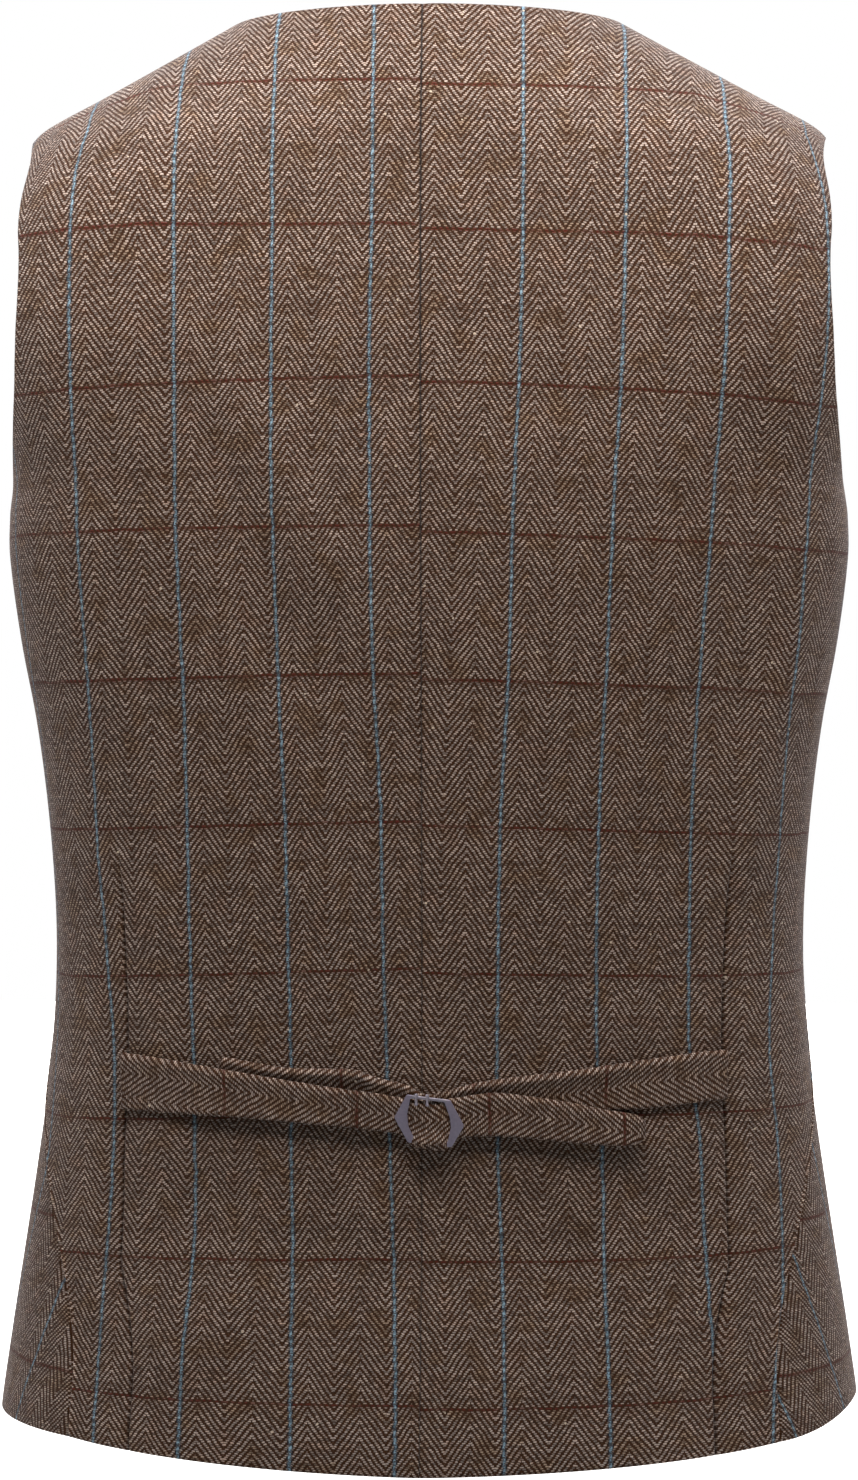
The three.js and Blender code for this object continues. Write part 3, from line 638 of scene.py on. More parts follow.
def back_panel(side):
    name = "back_right" if side > 0 else "back_left"
    side_seam = (SIDE_SEAM, steps(130, HEM_FINE))
    shoulder = (SHOULDER_BACK, steps(34, (), TOP_FINE))
    y, z, centre, reached = courses("back", [side_seam, (ARMHOLE_BACK, steps(74)), shoulder])
    columns_in = steps(46, CENTRE_FINE, BEFORE_DART_FINE)
    columns = np.concatenate([columns_in, 1 + steps(30, PAST_DART_FINE, SIDE_FINE)[1:]])
    dart_column = len(columns_in) - 1
    bend = (BEND_AT_HEM + (BEND_ABOVE - BEND_AT_HEM) * np.minimum(reached, 1))[:, None]
    edge = (run_at_depth(z, y) - SEAM / 2)[:, None]
    middle = (centre + z) / 2
    dart = np.minimum(run_at_back_width(middle, smooth(DART, "x", middle))[:, None], DART_REACH * edge)
    c = columns[None, :]
    run = np.where(c <= 1, c * dart, dart + (c - 1) * (edge - dart))
    run = SEAM / 2 + run * (1 - SEAM / 2 / edge)
    height = centre[:, None] + (z - centre)[:, None] * (np.maximum(run, 0) / edge) ** bend
    way = normal(run, height)
    place = surface(run, height)

    # The seams and the dart sink in, and the back's pressed edge stands out beside the side seam.
    from_centre = run - SEAM / 2
    from_edge = edge - run
    at_side = (reached <= 1)[:, None]
    is_seam_row = at_side | (reached >= 2)[:, None]
    off_dart = np.abs(run - run[:, dart_column : dart_column + 1])
    deep = ease((DART_TIP_Z - height) / DART_RAMP)
    dip = SEAM_DIP["depth"] * bell(from_centre, SEAM_DIP["width"])
    dip += is_seam_row * SEAM_DIP["depth"] * bell(from_edge, SEAM_DIP["width"])
    for groove in (DART_GROOVE, DART_DRAW):
        dip += deep * groove["deep"] * bell(off_dart, groove["half"])
    pressed = at_side * bell(from_edge - SIDE_RIDGE["in"], SIDE_RIDGE["half"])
    dip -= SIDE_RIDGE["out"] * pressed
    place = place + way * (creased(side * run, height) - dip)[..., None]
    # Painted shade in the centre seam, more near the top, and in the dart; a painted highlight on the
    # pressed edge.
    high = ease((height - SEAM_SHADE["fades_from"]) / -SEAM_SHADE["fades_from"])
    shade = (SEAM_SHADE["centre"] + SEAM_SHADE["centre_top"] * high) * bell(from_centre, SEAM_SHADE["half"])
    shade += SEAM_SHADE["dart"] * deep * bell(off_dart, SEAM_SHADE["half"])
    shade -= SEAM_SHADE["shine"] * pressed
    rim = rim_of(place, from_centre / ROUND_SEAM, from_edge / np.where(is_seam_row, ROUND_SEAM, ROUND_EDGE))

    # Over the shoulder the blue lines keep their width, and the rust ones follow the cloth.
    low = np.minimum(height, SHOULDER_REFERENCE)
    out_from_middle = np.abs(place[..., 0])
    same = run_at_back_width(low, out_from_middle).reshape(run.shape)
    flat_run = np.where(height > SHOULDER_REFERENCE, same, run)
    u, taken = cloth_across(side, flat_run.ravel(), height.ravel())
    v = cloth_up(side, run.ravel(), low.ravel()).reshape(run.shape)
    start = int((height.max(axis=1) < CLIMB_FROM).sum())
    far = np.clip(out_from_middle / SHOULDER_LESS["at"], 0, SHOULDER_LESS["most"])
    rise = climb(place, way, start) * (1 - SHOULDER_LESS["share"] * far**2)
    v = np.where(np.arange(len(z))[:, None] > start, v[start : start + 1] + rise, v)
    uv = np.stack([u.reshape(run.shape) * side, v], axis=-1)
    jump = np.zeros((len(z) - 1, len(columns) - 1, 4, 2))
    jump[:, dart_column:, :, 0] = corners_of(deep * taken.reshape(run.shape))[:, dart_column:] * side
    return panel_mesh(name + "_cloth", place, way, WALL, rim, uv, jump, shade, mirrored=side < 0)


# Tweed: woollen yarn woven two over and two under, and turned every 11 mm into a herringbone, cream weft
# over a dark brown warp, with a light blue warp yarn between slate ones every 43.5 mm and a rust weft
# yarn every 64 mm. It is matt and a little hairy, so it greys where eye and light graze it.
WEFT = 0.895  # from one row of floats to the next
WALE = 2.5  # from one slanting line to the next, along a row
HERRINGBONE = BLUE_REPEAT / 4
HERRINGBONE_START = 3.7
WARP_BROWN = "#3f2511"
WEFT_CREAMS = ((0.36, "#a08b77"), (0.46, "#b6a69a"), (0.55, "#b1a399"), (0.66, "#b09a8b"))
BLUE = {"yarn": "#8aa5b5", "crossed": "#45484c", "slate": "#272b31"}
RUST = "#63291f"
SLUB = "#d3c3ae"
# How far the yarns wander from their straight lines: waves per mm, and reach in mm.
WANDER = ((0.12, 1.5), (0.7, 0.8))
# What makes yarn paler or darker: waves per mm along a row and up the cloth, detail, and weight.
YARN_TONES = (
    ((0.05, 1.05, 1), 2.0, 1.0),  # lengths of weft yarn
    ((0.8, 0.04, 1), 2.0, 0.6),  # lengths of warp yarn
    ((0.04, 0.04, 0.04), 3.0, 0.7),  # clouds in the cloth
    ((0.75, 1.12, 1), 1.0, 2.2),  # single floats
)


def tweed_material():
    material, tree, shader = new_material(
        "herringbone_tweed",
        {
            "Roughness": 0.95,
            "Specular IOR Level": 0.2,
            "Sheen Weight": 0.16,
            "Sheen Roughness": 0.5,
            "Sheen Tint": linear("#e8dde0"),
        },
    )
    soft = {"interpolation_type": "SMOOTHSTEP"}
    place = add(tree, "ShaderNodeUVMap", uv_map="weave")
    for waves, reach in WANDER:
        moved = add(tree, "ShaderNodeTexNoise", {"Vector": place, "Scale": waves}).outputs["Color"]
        moved = add(tree, "ShaderNodeVectorMath", (moved, (0.5, 0.5, 0.5)), operation="SUBTRACT")
        moved = add(tree, "ShaderNodeVectorMath", {0: moved, "Scale": reach}, operation="SCALE")
        place = add(tree, "ShaderNodeVectorMath", (place, moved), operation="ADD")
    u, v, _ = add(tree, "ShaderNodeSeparateXYZ", (place,)).outputs

    # Each row of floats is set over by a quarter of a wale, one way and then the other.
    row = add(tree, "ShaderNodeMath", (v, WEFT), operation="DIVIDE")
    number = add(tree, "ShaderNodeMath", (row,), operation="FLOOR")
    started = add(tree, "ShaderNodeMath", (u, HERRINGBONE_START), operation="ADD")
    zigzag = add(tree, "ShaderNodeMath", (started, HERRINGBONE), operation="PINGPONG")
    wales = add(tree, "ShaderNodeMath", (zigzag, WALE), operation="DIVIDE")
    phase = add(tree, "ShaderNodeMath", (number, -0.25, wales), operation="MULTIPLY_ADD")
    turns = add(tree, "ShaderNodeMath", (phase, math.tau), operation="MULTIPLY")
    wave = add(tree, "ShaderNodeMath", (turns,), operation="SINE")
    weft_up = add(tree, "ShaderNodeMapRange", (wave, -0.4, 0.6, 0, 1), **soft)
    in_row = add(tree, "ShaderNodeMath", (row,), operation="FRACT")
    off_row = add(tree, "ShaderNodeMath", (in_row, 0.5), operation="SUBTRACT")
    off_row = add(tree, "ShaderNodeMath", (off_row,), operation="ABSOLUTE")
    crown = add(tree, "ShaderNodeMapRange", (off_row, 0.5, 0.16, 0.05, 1), **soft)
    bead = add(tree, "ShaderNodeMath", (weft_up, crown), operation="MULTIPLY")

    # The yarns are spun of mixed wool, and each float catches more or less light than the next.
    patches = add(tree, "ShaderNodeTexNoise", {"Vector": place, "Scale": 0.075, "Detail": 3.0})
    tints = add(tree, "ShaderNodeValToRGB", (patches,))
    stops = tints.color_ramp.elements
    stops[0].position, stops[0].color = WEFT_CREAMS[0][0], linear(WEFT_CREAMS[0][1])
    stops[1].position, stops[1].color = WEFT_CREAMS[-1][0], linear(WEFT_CREAMS[-1][1])
    for position, code in WEFT_CREAMS[1:-1]:
        stops.new(position).color = linear(code)
    tone = 0.0
    for waves, detail, weight in YARN_TONES:
        spread = add(tree, "ShaderNodeVectorMath", (place, waves), operation="MULTIPLY")
        noise = add(tree, "ShaderNodeTexNoise", {"Vector": spread, "Scale": 1.0, "Detail": detail})
        tone = add(tree, "ShaderNodeMath", (noise, weight, tone), operation="MULTIPLY_ADD")
    warp_tone = add(tree, "ShaderNodeMapRange", (tone, 1.45, 3.05, 0.6, 1.5))
    float_number = add(tree, "ShaderNodeMath", (phase,), operation="FLOOR")
    which = add(tree, "ShaderNodeCombineXYZ", (number, float_number))
    each = add(tree, "ShaderNodeTexWhiteNoise", (which,), noise_dimensions="2D")
    tone = add(tree, "ShaderNodeMath", (each, 1.4, tone), operation="MULTIPLY_ADD")
    weft_tone = add(tree, "ShaderNodeMapRange", (tone, 2.1, 3.8, 0.42, 1.5))
    weft = add(tree, "ShaderNodeVectorMath", {0: tints, "Scale": weft_tone}, operation="SCALE")
    brown = linear(WARP_BROWN)[:3]
    warp = add(tree, "ShaderNodeVectorMath", {0: brown, "Scale": warp_tone}, operation="SCALE")

    # The coloured yarns that make the windowpane.
    off_blue = add(tree, "ShaderNodeMath", (u, BLUE_REPEAT / 2), operation="PINGPONG")
    blue_here = add(tree, "ShaderNodeMapRange", (off_blue, 0.66, 0.38, 0, 1), **soft)
    slate_here = add(tree, "ShaderNodeMapRange", (off_blue, 1.35, 0.9, 0, 0.85), **soft)
    slate_under = add(tree, "ShaderNodeMath", (slate_here, 0.45), operation="MULTIPLY")
    off_rust = add(tree, "ShaderNodeMath", (v, RUST_REPEAT / 2), operation="PINGPONG")
    rust_here = add(tree, "ShaderNodeMapRange", (off_rust, 0.78, 0.48, 0, 1), **soft)
    spread = add(tree, "ShaderNodeVectorMath", (place, (0.09, 0.02, 1)), operation="MULTIPLY")
    fading = add(tree, "ShaderNodeTexNoise", {"Vector": spread, "Scale": 1.0})
    fading = add(tree, "ShaderNodeMapRange", (fading, 0.35, 0.55, 0.6, 1), **soft)
    rust_here = add(tree, "ShaderNodeMath", (rust_here, fading), operation="MULTIPLY")
    spread = add(tree, "ShaderNodeVectorMath", (place, (0.1, 0.8, 1)), operation="MULTIPLY")
    blue_tone = add(tree, "ShaderNodeTexNoise", {"Vector": spread, "Scale": 1.0})
    blue_tone = add(tree, "ShaderNodeMapRange", (blue_tone, 0.34, 0.66, 0.2, 1.35))
    blue = linear(BLUE["yarn"])[:3]
    blue = add(tree, "ShaderNodeVectorMath", {0: blue, "Scale": blue_tone}, operation="SCALE")
    rust, slate, crossed = linear(RUST), linear(BLUE["slate"]), linear(BLUE["crossed"])
    for share, yarn in ((rust_here, rust), (slate_under, slate), (blue_here, crossed)):
        weft = add(tree, "ShaderNodeMix", {"Factor": share, 6: weft, 7: yarn}, data_type="RGBA").outputs[2]
    for share, yarn in ((slate_here, slate), (blue_here, blue)):
        warp = add(tree, "ShaderNodeMix", {"Factor": share, 6: warp, 7: yarn}, data_type="RGBA").outputs[2]
    colour = add(tree, "ShaderNodeMix", {"Factor": bead, 6: warp, 7: weft}, data_type="RGBA").outputs[2]

    # A few cream slubs, and the painted shade of the seams and the dart, with a painted highlight on the
    # pressed edge.
    specks = add(tree, "ShaderNodeTexVoronoi", {"Vector": place, "Scale": 0.16})
    small = add(tree, "ShaderNodeMath", (specks, 0.09), operation="LESS_THAN")
    few = add(tree, "ShaderNodeSeparateColor", (specks.outputs["Color"],))
    few = add(tree, "ShaderNodeMath", (few, 0.9), operation="GREATER_THAN")
    slub = add(tree, "ShaderNodeMath", (small, few), operation="MULTIPLY")
    slubs = {"Factor": slub, 6: colour, 7: linear(SLUB)}
    colour = add(tree, "ShaderNodeMix", slubs, data_type="RGBA").outputs[2]
    painted_seam_shade = add(tree, "ShaderNodeAttribute", attribute_name="seam_shade").outputs["Fac"]
    lit = add(tree, "ShaderNodeMath", (1.0, painted_seam_shade), operation="SUBTRACT")
    colour = add(tree, "ShaderNodeVectorMath", {0: colour, "Scale": lit}, operation="SCALE")
    tree.links.new(colour.outputs[0], shader.inputs["Base Color"])

    hairy = add(tree, "ShaderNodeTexNoise", {"Vector": place, "Scale": 1.6, "Detail": 3.0})
    relief = add(tree, "ShaderNodeMath", (hairy, 0.4, bead), operation="MULTIPLY_ADD")
    bump = add(tree, "ShaderNodeBump", {"Strength": 0.6, "Distance": 0.35 * MM, "Height": relief})
    tree.links.new(bump.outputs[0], shader.inputs["Normal"])
    return material


tweed = tweed_material()
for side in (1, -1):
    panel = back_panel(side)
    node = panel.name.removesuffix("_cloth")
    panel.data.materials.append(tweed)
    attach(panel, "root")
    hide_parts(node)


# Fronts: two plain panels of the same tweed with a V neck, closed left over right, and cut away below
# the last button to two points. The back hides them in the photograph, so they have no pockets.
LAP = 18
LAP_BLEND = 26
LAP_SPARE = 4
LAP_DEPTH = WALL + 0.4
V_CURVE = 1.8
NECK_END_X = 85.2
FRONT_POINT_X = 38
CUTAWAY_TOP_Z = -598
CUTAWAY_CURVE = 1.2
HEM_DROP_CURVE = 2.6
HEM_LIFT = {"up": 8, "share": 0.5}
ARMHOLE_FRONT = table(
    "y z front",
    (5, -229, -286),
    (27, -222, -272),
    (42, -203, -V_DEPTH),
    (52, -174, -218),
    (56.5, -144, -174),
    (56, -117, -132),
    (51, -92, -93),
    (42, -73, -60),
    (31, -60.5, -33),
    (20, -53.5, -13),
    (SHOULDER_SEAM_Y, -50, 0),
)
FRONT_RUST_Z = -611.5  # the height of one rust line
FRONT_BLUE_RUN = 27  # how far the centre front lies past a blue line


def front_edge_x(z):
    """The front edge, by height: the V neck, the straight lap, and the cutaway down to the point."""
    neck = -LAP + (NECK_END_X + LAP) * (1 - np.clip(-z / V_DEPTH, 0, 1) ** V_CURVE)
    share = np.clip((CUTAWAY_TOP_Z - z) / (CUTAWAY_TOP_Z - FRONT_POINT_Z), 0, 1)
    cutaway = -LAP + (FRONT_POINT_X + LAP) * share**CUTAWAY_CURVE
    return np.where(z > -V_DEPTH, neck, cutaway)


def front_panel(side, under):
    y, z, centre, reached = courses(
        "front", [(SIDE_SEAM, steps(120, HEM_FINE)), (ARMHOLE_FRONT, steps(90, (), TOP_FINE))]
    )
    share = steps(66, (0.003, 0.008, 0.016), (0.002, 0.005, 0.01, 0.018))[None, :]
    whole = ring(z)[2][:, -1]
    outer = (run_at_depth(z, y) + SEAM / 2) / whole
    inner = run_at_front_width(centre, front_edge_x(centre)) / ring(centre)[2][:, -1]
    low = np.minimum(reached, 1)[:, None]
    sag = share**HEM_DROP_CURVE * (1 - low) + share * low
    height = z[:, None] + (centre - z)[:, None] * sag
    if side > 0:
        # The right front has ridden up a little beside the seam, as worn cloth does.
        bump = np.sin(math.pi * np.clip(share / HEM_LIFT["share"], 0, 1)) ** 2
        height = height + HEM_LIFT["up"] * bump * (1 - low) ** 3
    around = outer[:, None] + (inner - outer)[:, None] * share
    seam = (run_at_depth(height[-1], SHOULDER_SEAM_Y) + SEAM / 2) / ring(height[-1])[2][:, -1]
    rise = np.clip(reached - 1, 0, 1)[:, None] ** 3
    whole = ring(height)[2][:, -1].reshape(height.shape)
    run = (around + rise * (seam - around[-1])[None, :]) * whole
    lap = ease((run - (whole - LAP - LAP_BLEND - LAP_SPARE)) / LAP_BLEND) if under else 0
    way = normal(run, height)
    place = surface(run, height)
    across = np.linalg.norm(np.diff(place, axis=1), axis=-1)
    from_side = np.concatenate([np.zeros((len(z), 1)), np.cumsum(across, axis=1)], axis=1)
    from_front = from_side[:, -1:] - from_side
    is_seam_row = (reached <= 1)[:, None]
    dip = is_seam_row * SEAM_DIP["depth"] * bell(from_side, SEAM_DIP["width"])
    place = place + way * (creased(side * run, height) - lap * LAP_DEPTH - dip)[..., None]
    rim = rim_of(place, from_side / np.where(is_seam_row, ROUND_SEAM, ROUND_EDGE), from_front / ROUND_EDGE)
    uv = np.stack([(whole - run) * side + FRONT_BLUE_RUN, height - FRONT_RUST_Z], axis=-1)
    name = "front_right_cloth" if side > 0 else "front_left_cloth"
    return panel_mesh(name, place, way, WALL, rim, uv, mirrored=side < 0)


for side, under in ((1, True), (-1, False)):
    panel = front_panel(side, under)
    node = panel.name.removesuffix("_cloth")
    panel.data.materials.append(tweed)
    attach(panel, "root")
    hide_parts(node)


# Waist straps: two folded and pressed bands of the tweed, sewn into the darts, cut along the warp, so
# that the herringbone lies on its side. The left one passes through the buckle over the right one.
STRAP_WALL = 2.2
STRAP_REST = 0.5
OVER = STRAP_REST + STRAP_WALL + 0.4
STRAP_LEFT = table(
    "x top bottom lift tilt",
    (-134, -470.3, -495.6, STRAP_REST, 0.2),
    (-124, -471.2, -495.7, STRAP_REST, 0.5),
    (-110.3, -472.5, -495.8, 1.4, 0.6),
    (-96, -474.3, -496, OVER, 0.6),
    (-85.5, -475.7, -496.3, OVER, 0.6),
    (-58.9, -479.6, -497.9, OVER, 0.5),
    (-39.2, -482.5, -499.4, OVER, 0.4),
    (-19.6, -485, -501.5, OVER, 0),
    (-9, -486.9, -503.2, OVER, 0),
    (-4, -487.4, -508, OVER, 0),
    (3.5, -488, -509.2, OVER, 0),
    (10.5, -487.4, -509.8, OVER, 0),
    (15.5, -486.8, -504.8, OVER, 0),
    (31.8, -484.6, -503.7, OVER, 0.4),
    (47.9, -486.4, -504.7, OVER, 0.5),
    (65.3, -489.3, -506.7, OVER, 0.5),
    (78.4, -492.2, -507.9, OVER, 0.4),
    (88, -493.8, -508.3, OVER, 0.4),
    (93.5, -495.4, -507.3, OVER, 0.3),
    (96.4, -498.6, -504.6, OVER, 0.2),
)
STRAP_RIGHT = table(
    "x top bottom lift tilt",
    (133.7, -468, -490.1, STRAP_REST, 0.3),
    (118.3, -468.9, -490.9, STRAP_REST, 0.6),
    (91.6, -471.9, -492.9, STRAP_REST, 1.4),
    (60.9, -475.9, -493.1, STRAP_REST, 2.6),
    (31.8, -479.1, -494.2, STRAP_REST, 3.6),
    (18.3, -481.9, -494.6, STRAP_REST, 2.2),
    (10, -484.5, -495, STRAP_REST, 0.6),
    (3.5, -485.8, -495.4, STRAP_REST, 0),
    (-1.3, -484.5, -495.4, STRAP_REST, 0),
    (-7, -481.5, -494.5, STRAP_REST, 1.0),
    (-20.9, -478, -492.8, STRAP_REST, 3.2),
    (-30.5, -475, -491.1, STRAP_REST, 4.4),
    (-58.9, -474.4, -488.8, STRAP_REST, 3.8),
    (-74.4, -472.4, -487.3, STRAP_REST, 2.6),
    (-86, -470.6, -485.2, STRAP_REST, 1.0),
    (-89.5, -472.6, -482.4, STRAP_REST, 0.6),
)
ROUND_FOLD = 1.3
FOLD_ROLL = {"round": 1.7, "out": 1.1}
WINDOW_PUFF = {"x": 3.4, "z": -496.5, "across": 7.5, "up": 7, "out": 1.0}
BAR_PUFF = {"x": 3.4, "z": -506.5, "across": 7.2, "up": 3.8, "out": 3.4}
# The weave lies on its side: where its columns start down the strap, and how x reads as rows of it.
STRAPS = {
    "strap_right": {
        "stations": STRAP_RIGHT, "tilt_fade": 3.6, "puffs": (),
        "weave_top": 7.55, "weave_way": 1.12, "weave_start": 39.2,
        "flat": (0.026, 0.232), "area": 0.0042,
    },
    "strap_left": {
        "stations": STRAP_LEFT, "tilt_fade": 1.8, "puffs": (WINDOW_PUFF, BAR_PUFF),
        "weave_top": 9.55, "weave_way": -1.12, "weave_start": 33,
        "flat": (0.026, 0.239), "area": 0.0049,
    },
}


def on_back(x, z):
    """A point of the back's outer surface, creased, and the way out of it."""
    run = run_at_back_width(np.ravel(z), np.abs(np.ravel(x))).reshape(np.shape(x))
    way, place = normal(run, z), surface(run, z)
    left = np.sign(x)[..., None] * [1, 0, 0] + [0, 1, 1]
    way = way * np.where(left == 0, 1, left)
    place = place * np.where(left == 0, 1, left)
    return place + way * creased(np.sign(x) * run, z)[..., None], way


def strap(name, cut):
    along = steps(240, (0.0006, 0.0015, 0.003), (0.0006, 0.0015, 0.003))
    stations = cut["stations"]
    read = {column: smooth(stations, column, along, along="step")[:, None] for column in stations}
    share = steps(26, (0.004, 0.012, 0.026, 0.05), (0.004, 0.012, 0.026, 0.05))[None, :]
    x = np.broadcast_to(read["x"], (len(along), share.shape[1]))
    width = read["top"] - read["bottom"]
    z = read["top"] - width * share
    place, way = on_back(x, z)
    roll = (1 - bell(share * width, FOLD_ROLL["round"])) * (1 - share) ** cut["tilt_fade"]
    lift = read["lift"] + STRAP_WALL + (read["tilt"] + FOLD_ROLL["out"]) * roll
    for puff in cut["puffs"]:
        off_x, off_z = (x - puff["x"]) / puff["across"], (z - puff["z"]) / puff["up"]
        lift = lift + puff["out"] * np.exp(-(off_x**4) - off_z**2)
    place = place + way * lift[..., None]
    across = np.minimum(share, 1 - share) * width
    ends = np.minimum(along_from(place), along_from(place, True))
    rim = np.clip(1 - np.minimum(across, ends) / ROUND_FOLD, 0, 1)
    uv = np.stack([share * width + cut["weave_top"], x * cut["weave_way"] + cut["weave_start"]], axis=-1)
    if stations["x"][-1] > stations["x"][0]:
        place, way, rim, uv = (a[:, ::-1] for a in (place, way, rim, uv))
    return panel_mesh(name, place, way, STRAP_WALL, rim, uv)


for node, cut in STRAPS.items():
    band = strap(node + "_cloth", cut)
    band.data.materials.append(tweed)
    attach(band, "root")
    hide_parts(node)


# Buckle: a flat six-sided slide stamped from steel and plated dark, with two short wire prongs, each
# with a bead at either end, on its top bar. The left strap's cloth swells through its window.
BUCKLE = {"x": 3.4, "z": -496.7, "thick": 1.4, "bevel": 0.35, "soft": 0.1}
BUCKLE_OUTLINE = ((-9.8, 11.3), (-15.2, 1.3), (-9.2, -9.6), (9.7, -11.6), (15.2, -2.3), (9.2, 9.0))
BUCKLE_WINDOW = (
    (-8.2, 9.6), (-9.6, 2.6), (-9, -2.8), (-6.4, -7.6), (8.1, -9.2), (9.5, -2.8), (9, 1.4), (6.6, 8),
)
BUCKLE_CORNER = 0.6
BUCKLE_BASE = OVER + STRAP_WALL + 0.3
# The faces of the slide's top bar, which take the prongs' paler wire metal as a painted highlight.
PAINTED_BAR_HIGHLIGHT = {"above": 7.4, "half": 7.6}
PRONG = {"length": 4.0, "sides": 20, "lift": 1.15}
# A prong's end: how far past the wire's length, and its radius there, from the tip of the bead inwards.
PRONG_END = ((0.7, 0.02), (0.6, 0.5), (0.2, 0.85), (-0.3, 0.7), (-0.6, 0.55))
PRONGS = {"buckle_prong_left": (-5.6, 9.2), "buckle_prong_right": (-0.8, 8.9)}


def rounded(corners, count=160):
    """A closed outline with soft corners, in even steps of its length."""
    points = np.array(corners, float)
    dense = []
    for before, corner, after in zip(np.roll(points, 1, 0), points, np.roll(points, -1, 0)):
        into, out_of = unit(before - corner), unit(after - corner)
        for t in np.linspace(0, 1, 9):
            start, end = corner + into * BUCKLE_CORNER, corner + out_of * BUCKLE_CORNER
            dense.append((1 - t) ** 2 * start + 2 * t * (1 - t) * corner + t**2 * end)
    dense = np.array(dense + dense[:1])
    length = np.concatenate([[0], np.cumsum(np.linalg.norm(np.diff(dense, axis=0), axis=1))])
    at = np.linspace(0, length[-1], count, endpoint=False)
    return np.stack([np.interp(at, length, dense[:, k]) for k in (0, 1)], axis=-1)


def by_angle(outline, count=240):
    """The same outline, read at even angles round its middle, so that two of them can be joined."""
    angle = np.unwrap(np.arctan2(outline[:, 1], outline[:, 0]))
    if angle[-1] < angle[0]:
        outline, angle = outline[::-1], angle[::-1]
    turns = np.concatenate([angle - math.tau, angle, angle + math.tau])
    three = np.concatenate([outline, outline, outline])
    even = np.sort(np.mod(np.linspace(angle[0], angle[0] + math.tau, count, endpoint=False), math.tau))
    return np.stack([np.interp(even, turns, three[:, k]) for k in (0, 1)], axis=-1)


def tube_mesh(name, loops):
    """A closed ring through loops of points, the last joined to the first."""
    count, around = len(loops), len(loops[0])
    points = np.concatenate(loops)
    ids = np.arange(count * around).reshape(count, around)
    ahead, beside = np.roll(ids, -1, axis=0), np.roll(ids, -1, axis=1)
    faces = np.stack([ids, beside, np.roll(ahead, -1, axis=1), ahead], axis=-1).reshape(-1, 4)
    piece = smooth_piece(name, points, faces)
    face_outwards(piece)
    return piece


def face_outwards(piece):
    """Turns every face of a closed mesh outwards."""
    work = bmesh.new()
    work.from_mesh(piece.data)
    bmesh.ops.recalc_face_normals(work, faces=work.faces)
    work.to_mesh(piece.data)
    work.free()


def flat_on(place, way):
    """Turns places in a flat thing's own plane, and heights above it, into points, where it lies on
    the cloth at one place and faces the given way."""
    level = unit(np.cross([0, 0, 1.0], way))
    upward = np.cross(way, level)
    return lambda x, z, out: place + x[..., None] * level + z[..., None] * upward + out[..., None] * way


middle, middle_way = on_back(np.array([BUCKLE["x"]]), np.array([BUCKLE["z"]]))
seated = flat_on(middle[0], middle_way[0])


def dark_plate():
    """Dark nickel plate on stamped steel: smooth, cool grey with a purple cast, a little worn."""
    material, tree, shader = new_material(
        "dark_nickel_plate", {"Metallic": 0.35, "Roughness": 0.38, "Specular IOR Level": 0.6}
    )
    place = add(tree, "ShaderNodeTexCoord").outputs["Object"]
    wear = add(tree, "ShaderNodeTexNoise", {"Vector": place, "Scale": 900.0, "Detail": 3.0})
    tints = {"Factor": wear, 6: linear("#857f92"), 7: linear("#a29cae")}
    tint = add(tree, "ShaderNodeMix", tints, data_type="RGBA").outputs[2]
    tree.links.new(tint, shader.inputs["Base Color"])
    return material


def metal_for_wire_and_highlight():
    """Drawn steel wire in thinner nickel, paler and glossier than the slide; on the slide's top bar the
    same paler colour is a painted highlight.
    """
    settings = {"Base Color": linear("#a59fab"), "Metallic": 0.25, "Roughness": 0.25}
    return new_material("bright_nickel_wire", settings)[0]


plate, wire_metal_and_bar_highlight = dark_plate(), metal_for_wire_and_highlight()
outer, window = by_angle(rounded(BUCKLE_OUTLINE)), by_angle(rounded(BUCKLE_WINDOW))
wide = np.linalg.norm(outer - window, axis=1, keepdims=True)
thick, bevel, soft = BUCKLE["thick"], BUCKLE["bevel"], BUCKLE["soft"]
# Up the outer rim, over to the window's rim and down it, and back below: rim, inset and height.
climb_rim = [(0, bevel), (0, thick - bevel), (soft, thick - soft), (bevel, thick)]
section = [(0, *row) for row in climb_rim] + [(1, *row) for row in reversed(climb_rim)]
section += [(1, bevel, 0), (0, bevel, 0)]
loops = []
for rim, inset, height in section:
    share = abs(rim - inset / wide)
    at = outer * (1 - share) + window * share
    loops.append(seated(at[:, 0], at[:, 1], np.full(len(at), BUCKLE_BASE + height)))
buckle = tube_mesh("buckle_slide", loops)
buckle_middle, a_little_up = seated(np.zeros(2), np.array([0.0, 1.0]), np.zeros(2))
upright = Vector(a_little_up - buckle_middle)
# Painted highlight: the top bar's faces get the paler wire material.
for face in buckle.data.polygons:
    above = (face.center / MM - Vector(buckle_middle)).dot(upright)
    across = abs(face.center.x / MM - BUCKLE["x"])
    face.material_index = int(above > PAINTED_BAR_HIGHLIGHT["above"] and across < PAINTED_BAR_HIGHLIGHT["half"])
buckle.data.materials.append(plate)
buckle.data.materials.append(wire_metal_and_bar_highlight)
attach(buckle, "root")
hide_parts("buckle")

half = PRONG["length"] / 2
profile = [(-half - past, radius) for past, radius in PRONG_END]
profile += [(half + past, radius) for past, radius in reversed(PRONG_END)]
turn = np.linspace(0, math.tau, PRONG["sides"], endpoint=False)
prong_base = BUCKLE_BASE + thick + PRONG["lift"]
for node, (x, z) in PRONGS.items():
    loops = [
        seated(x + r * np.cos(turn), np.full_like(turn, z + h), prong_base + r * np.sin(turn))
        for h, r in profile
    ]
    wire = tube_mesh(node + "_wire", loops)
    wire.data.materials.append(wire_metal_and_bar_highlight)
    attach(wire, "root")
    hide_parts(node)


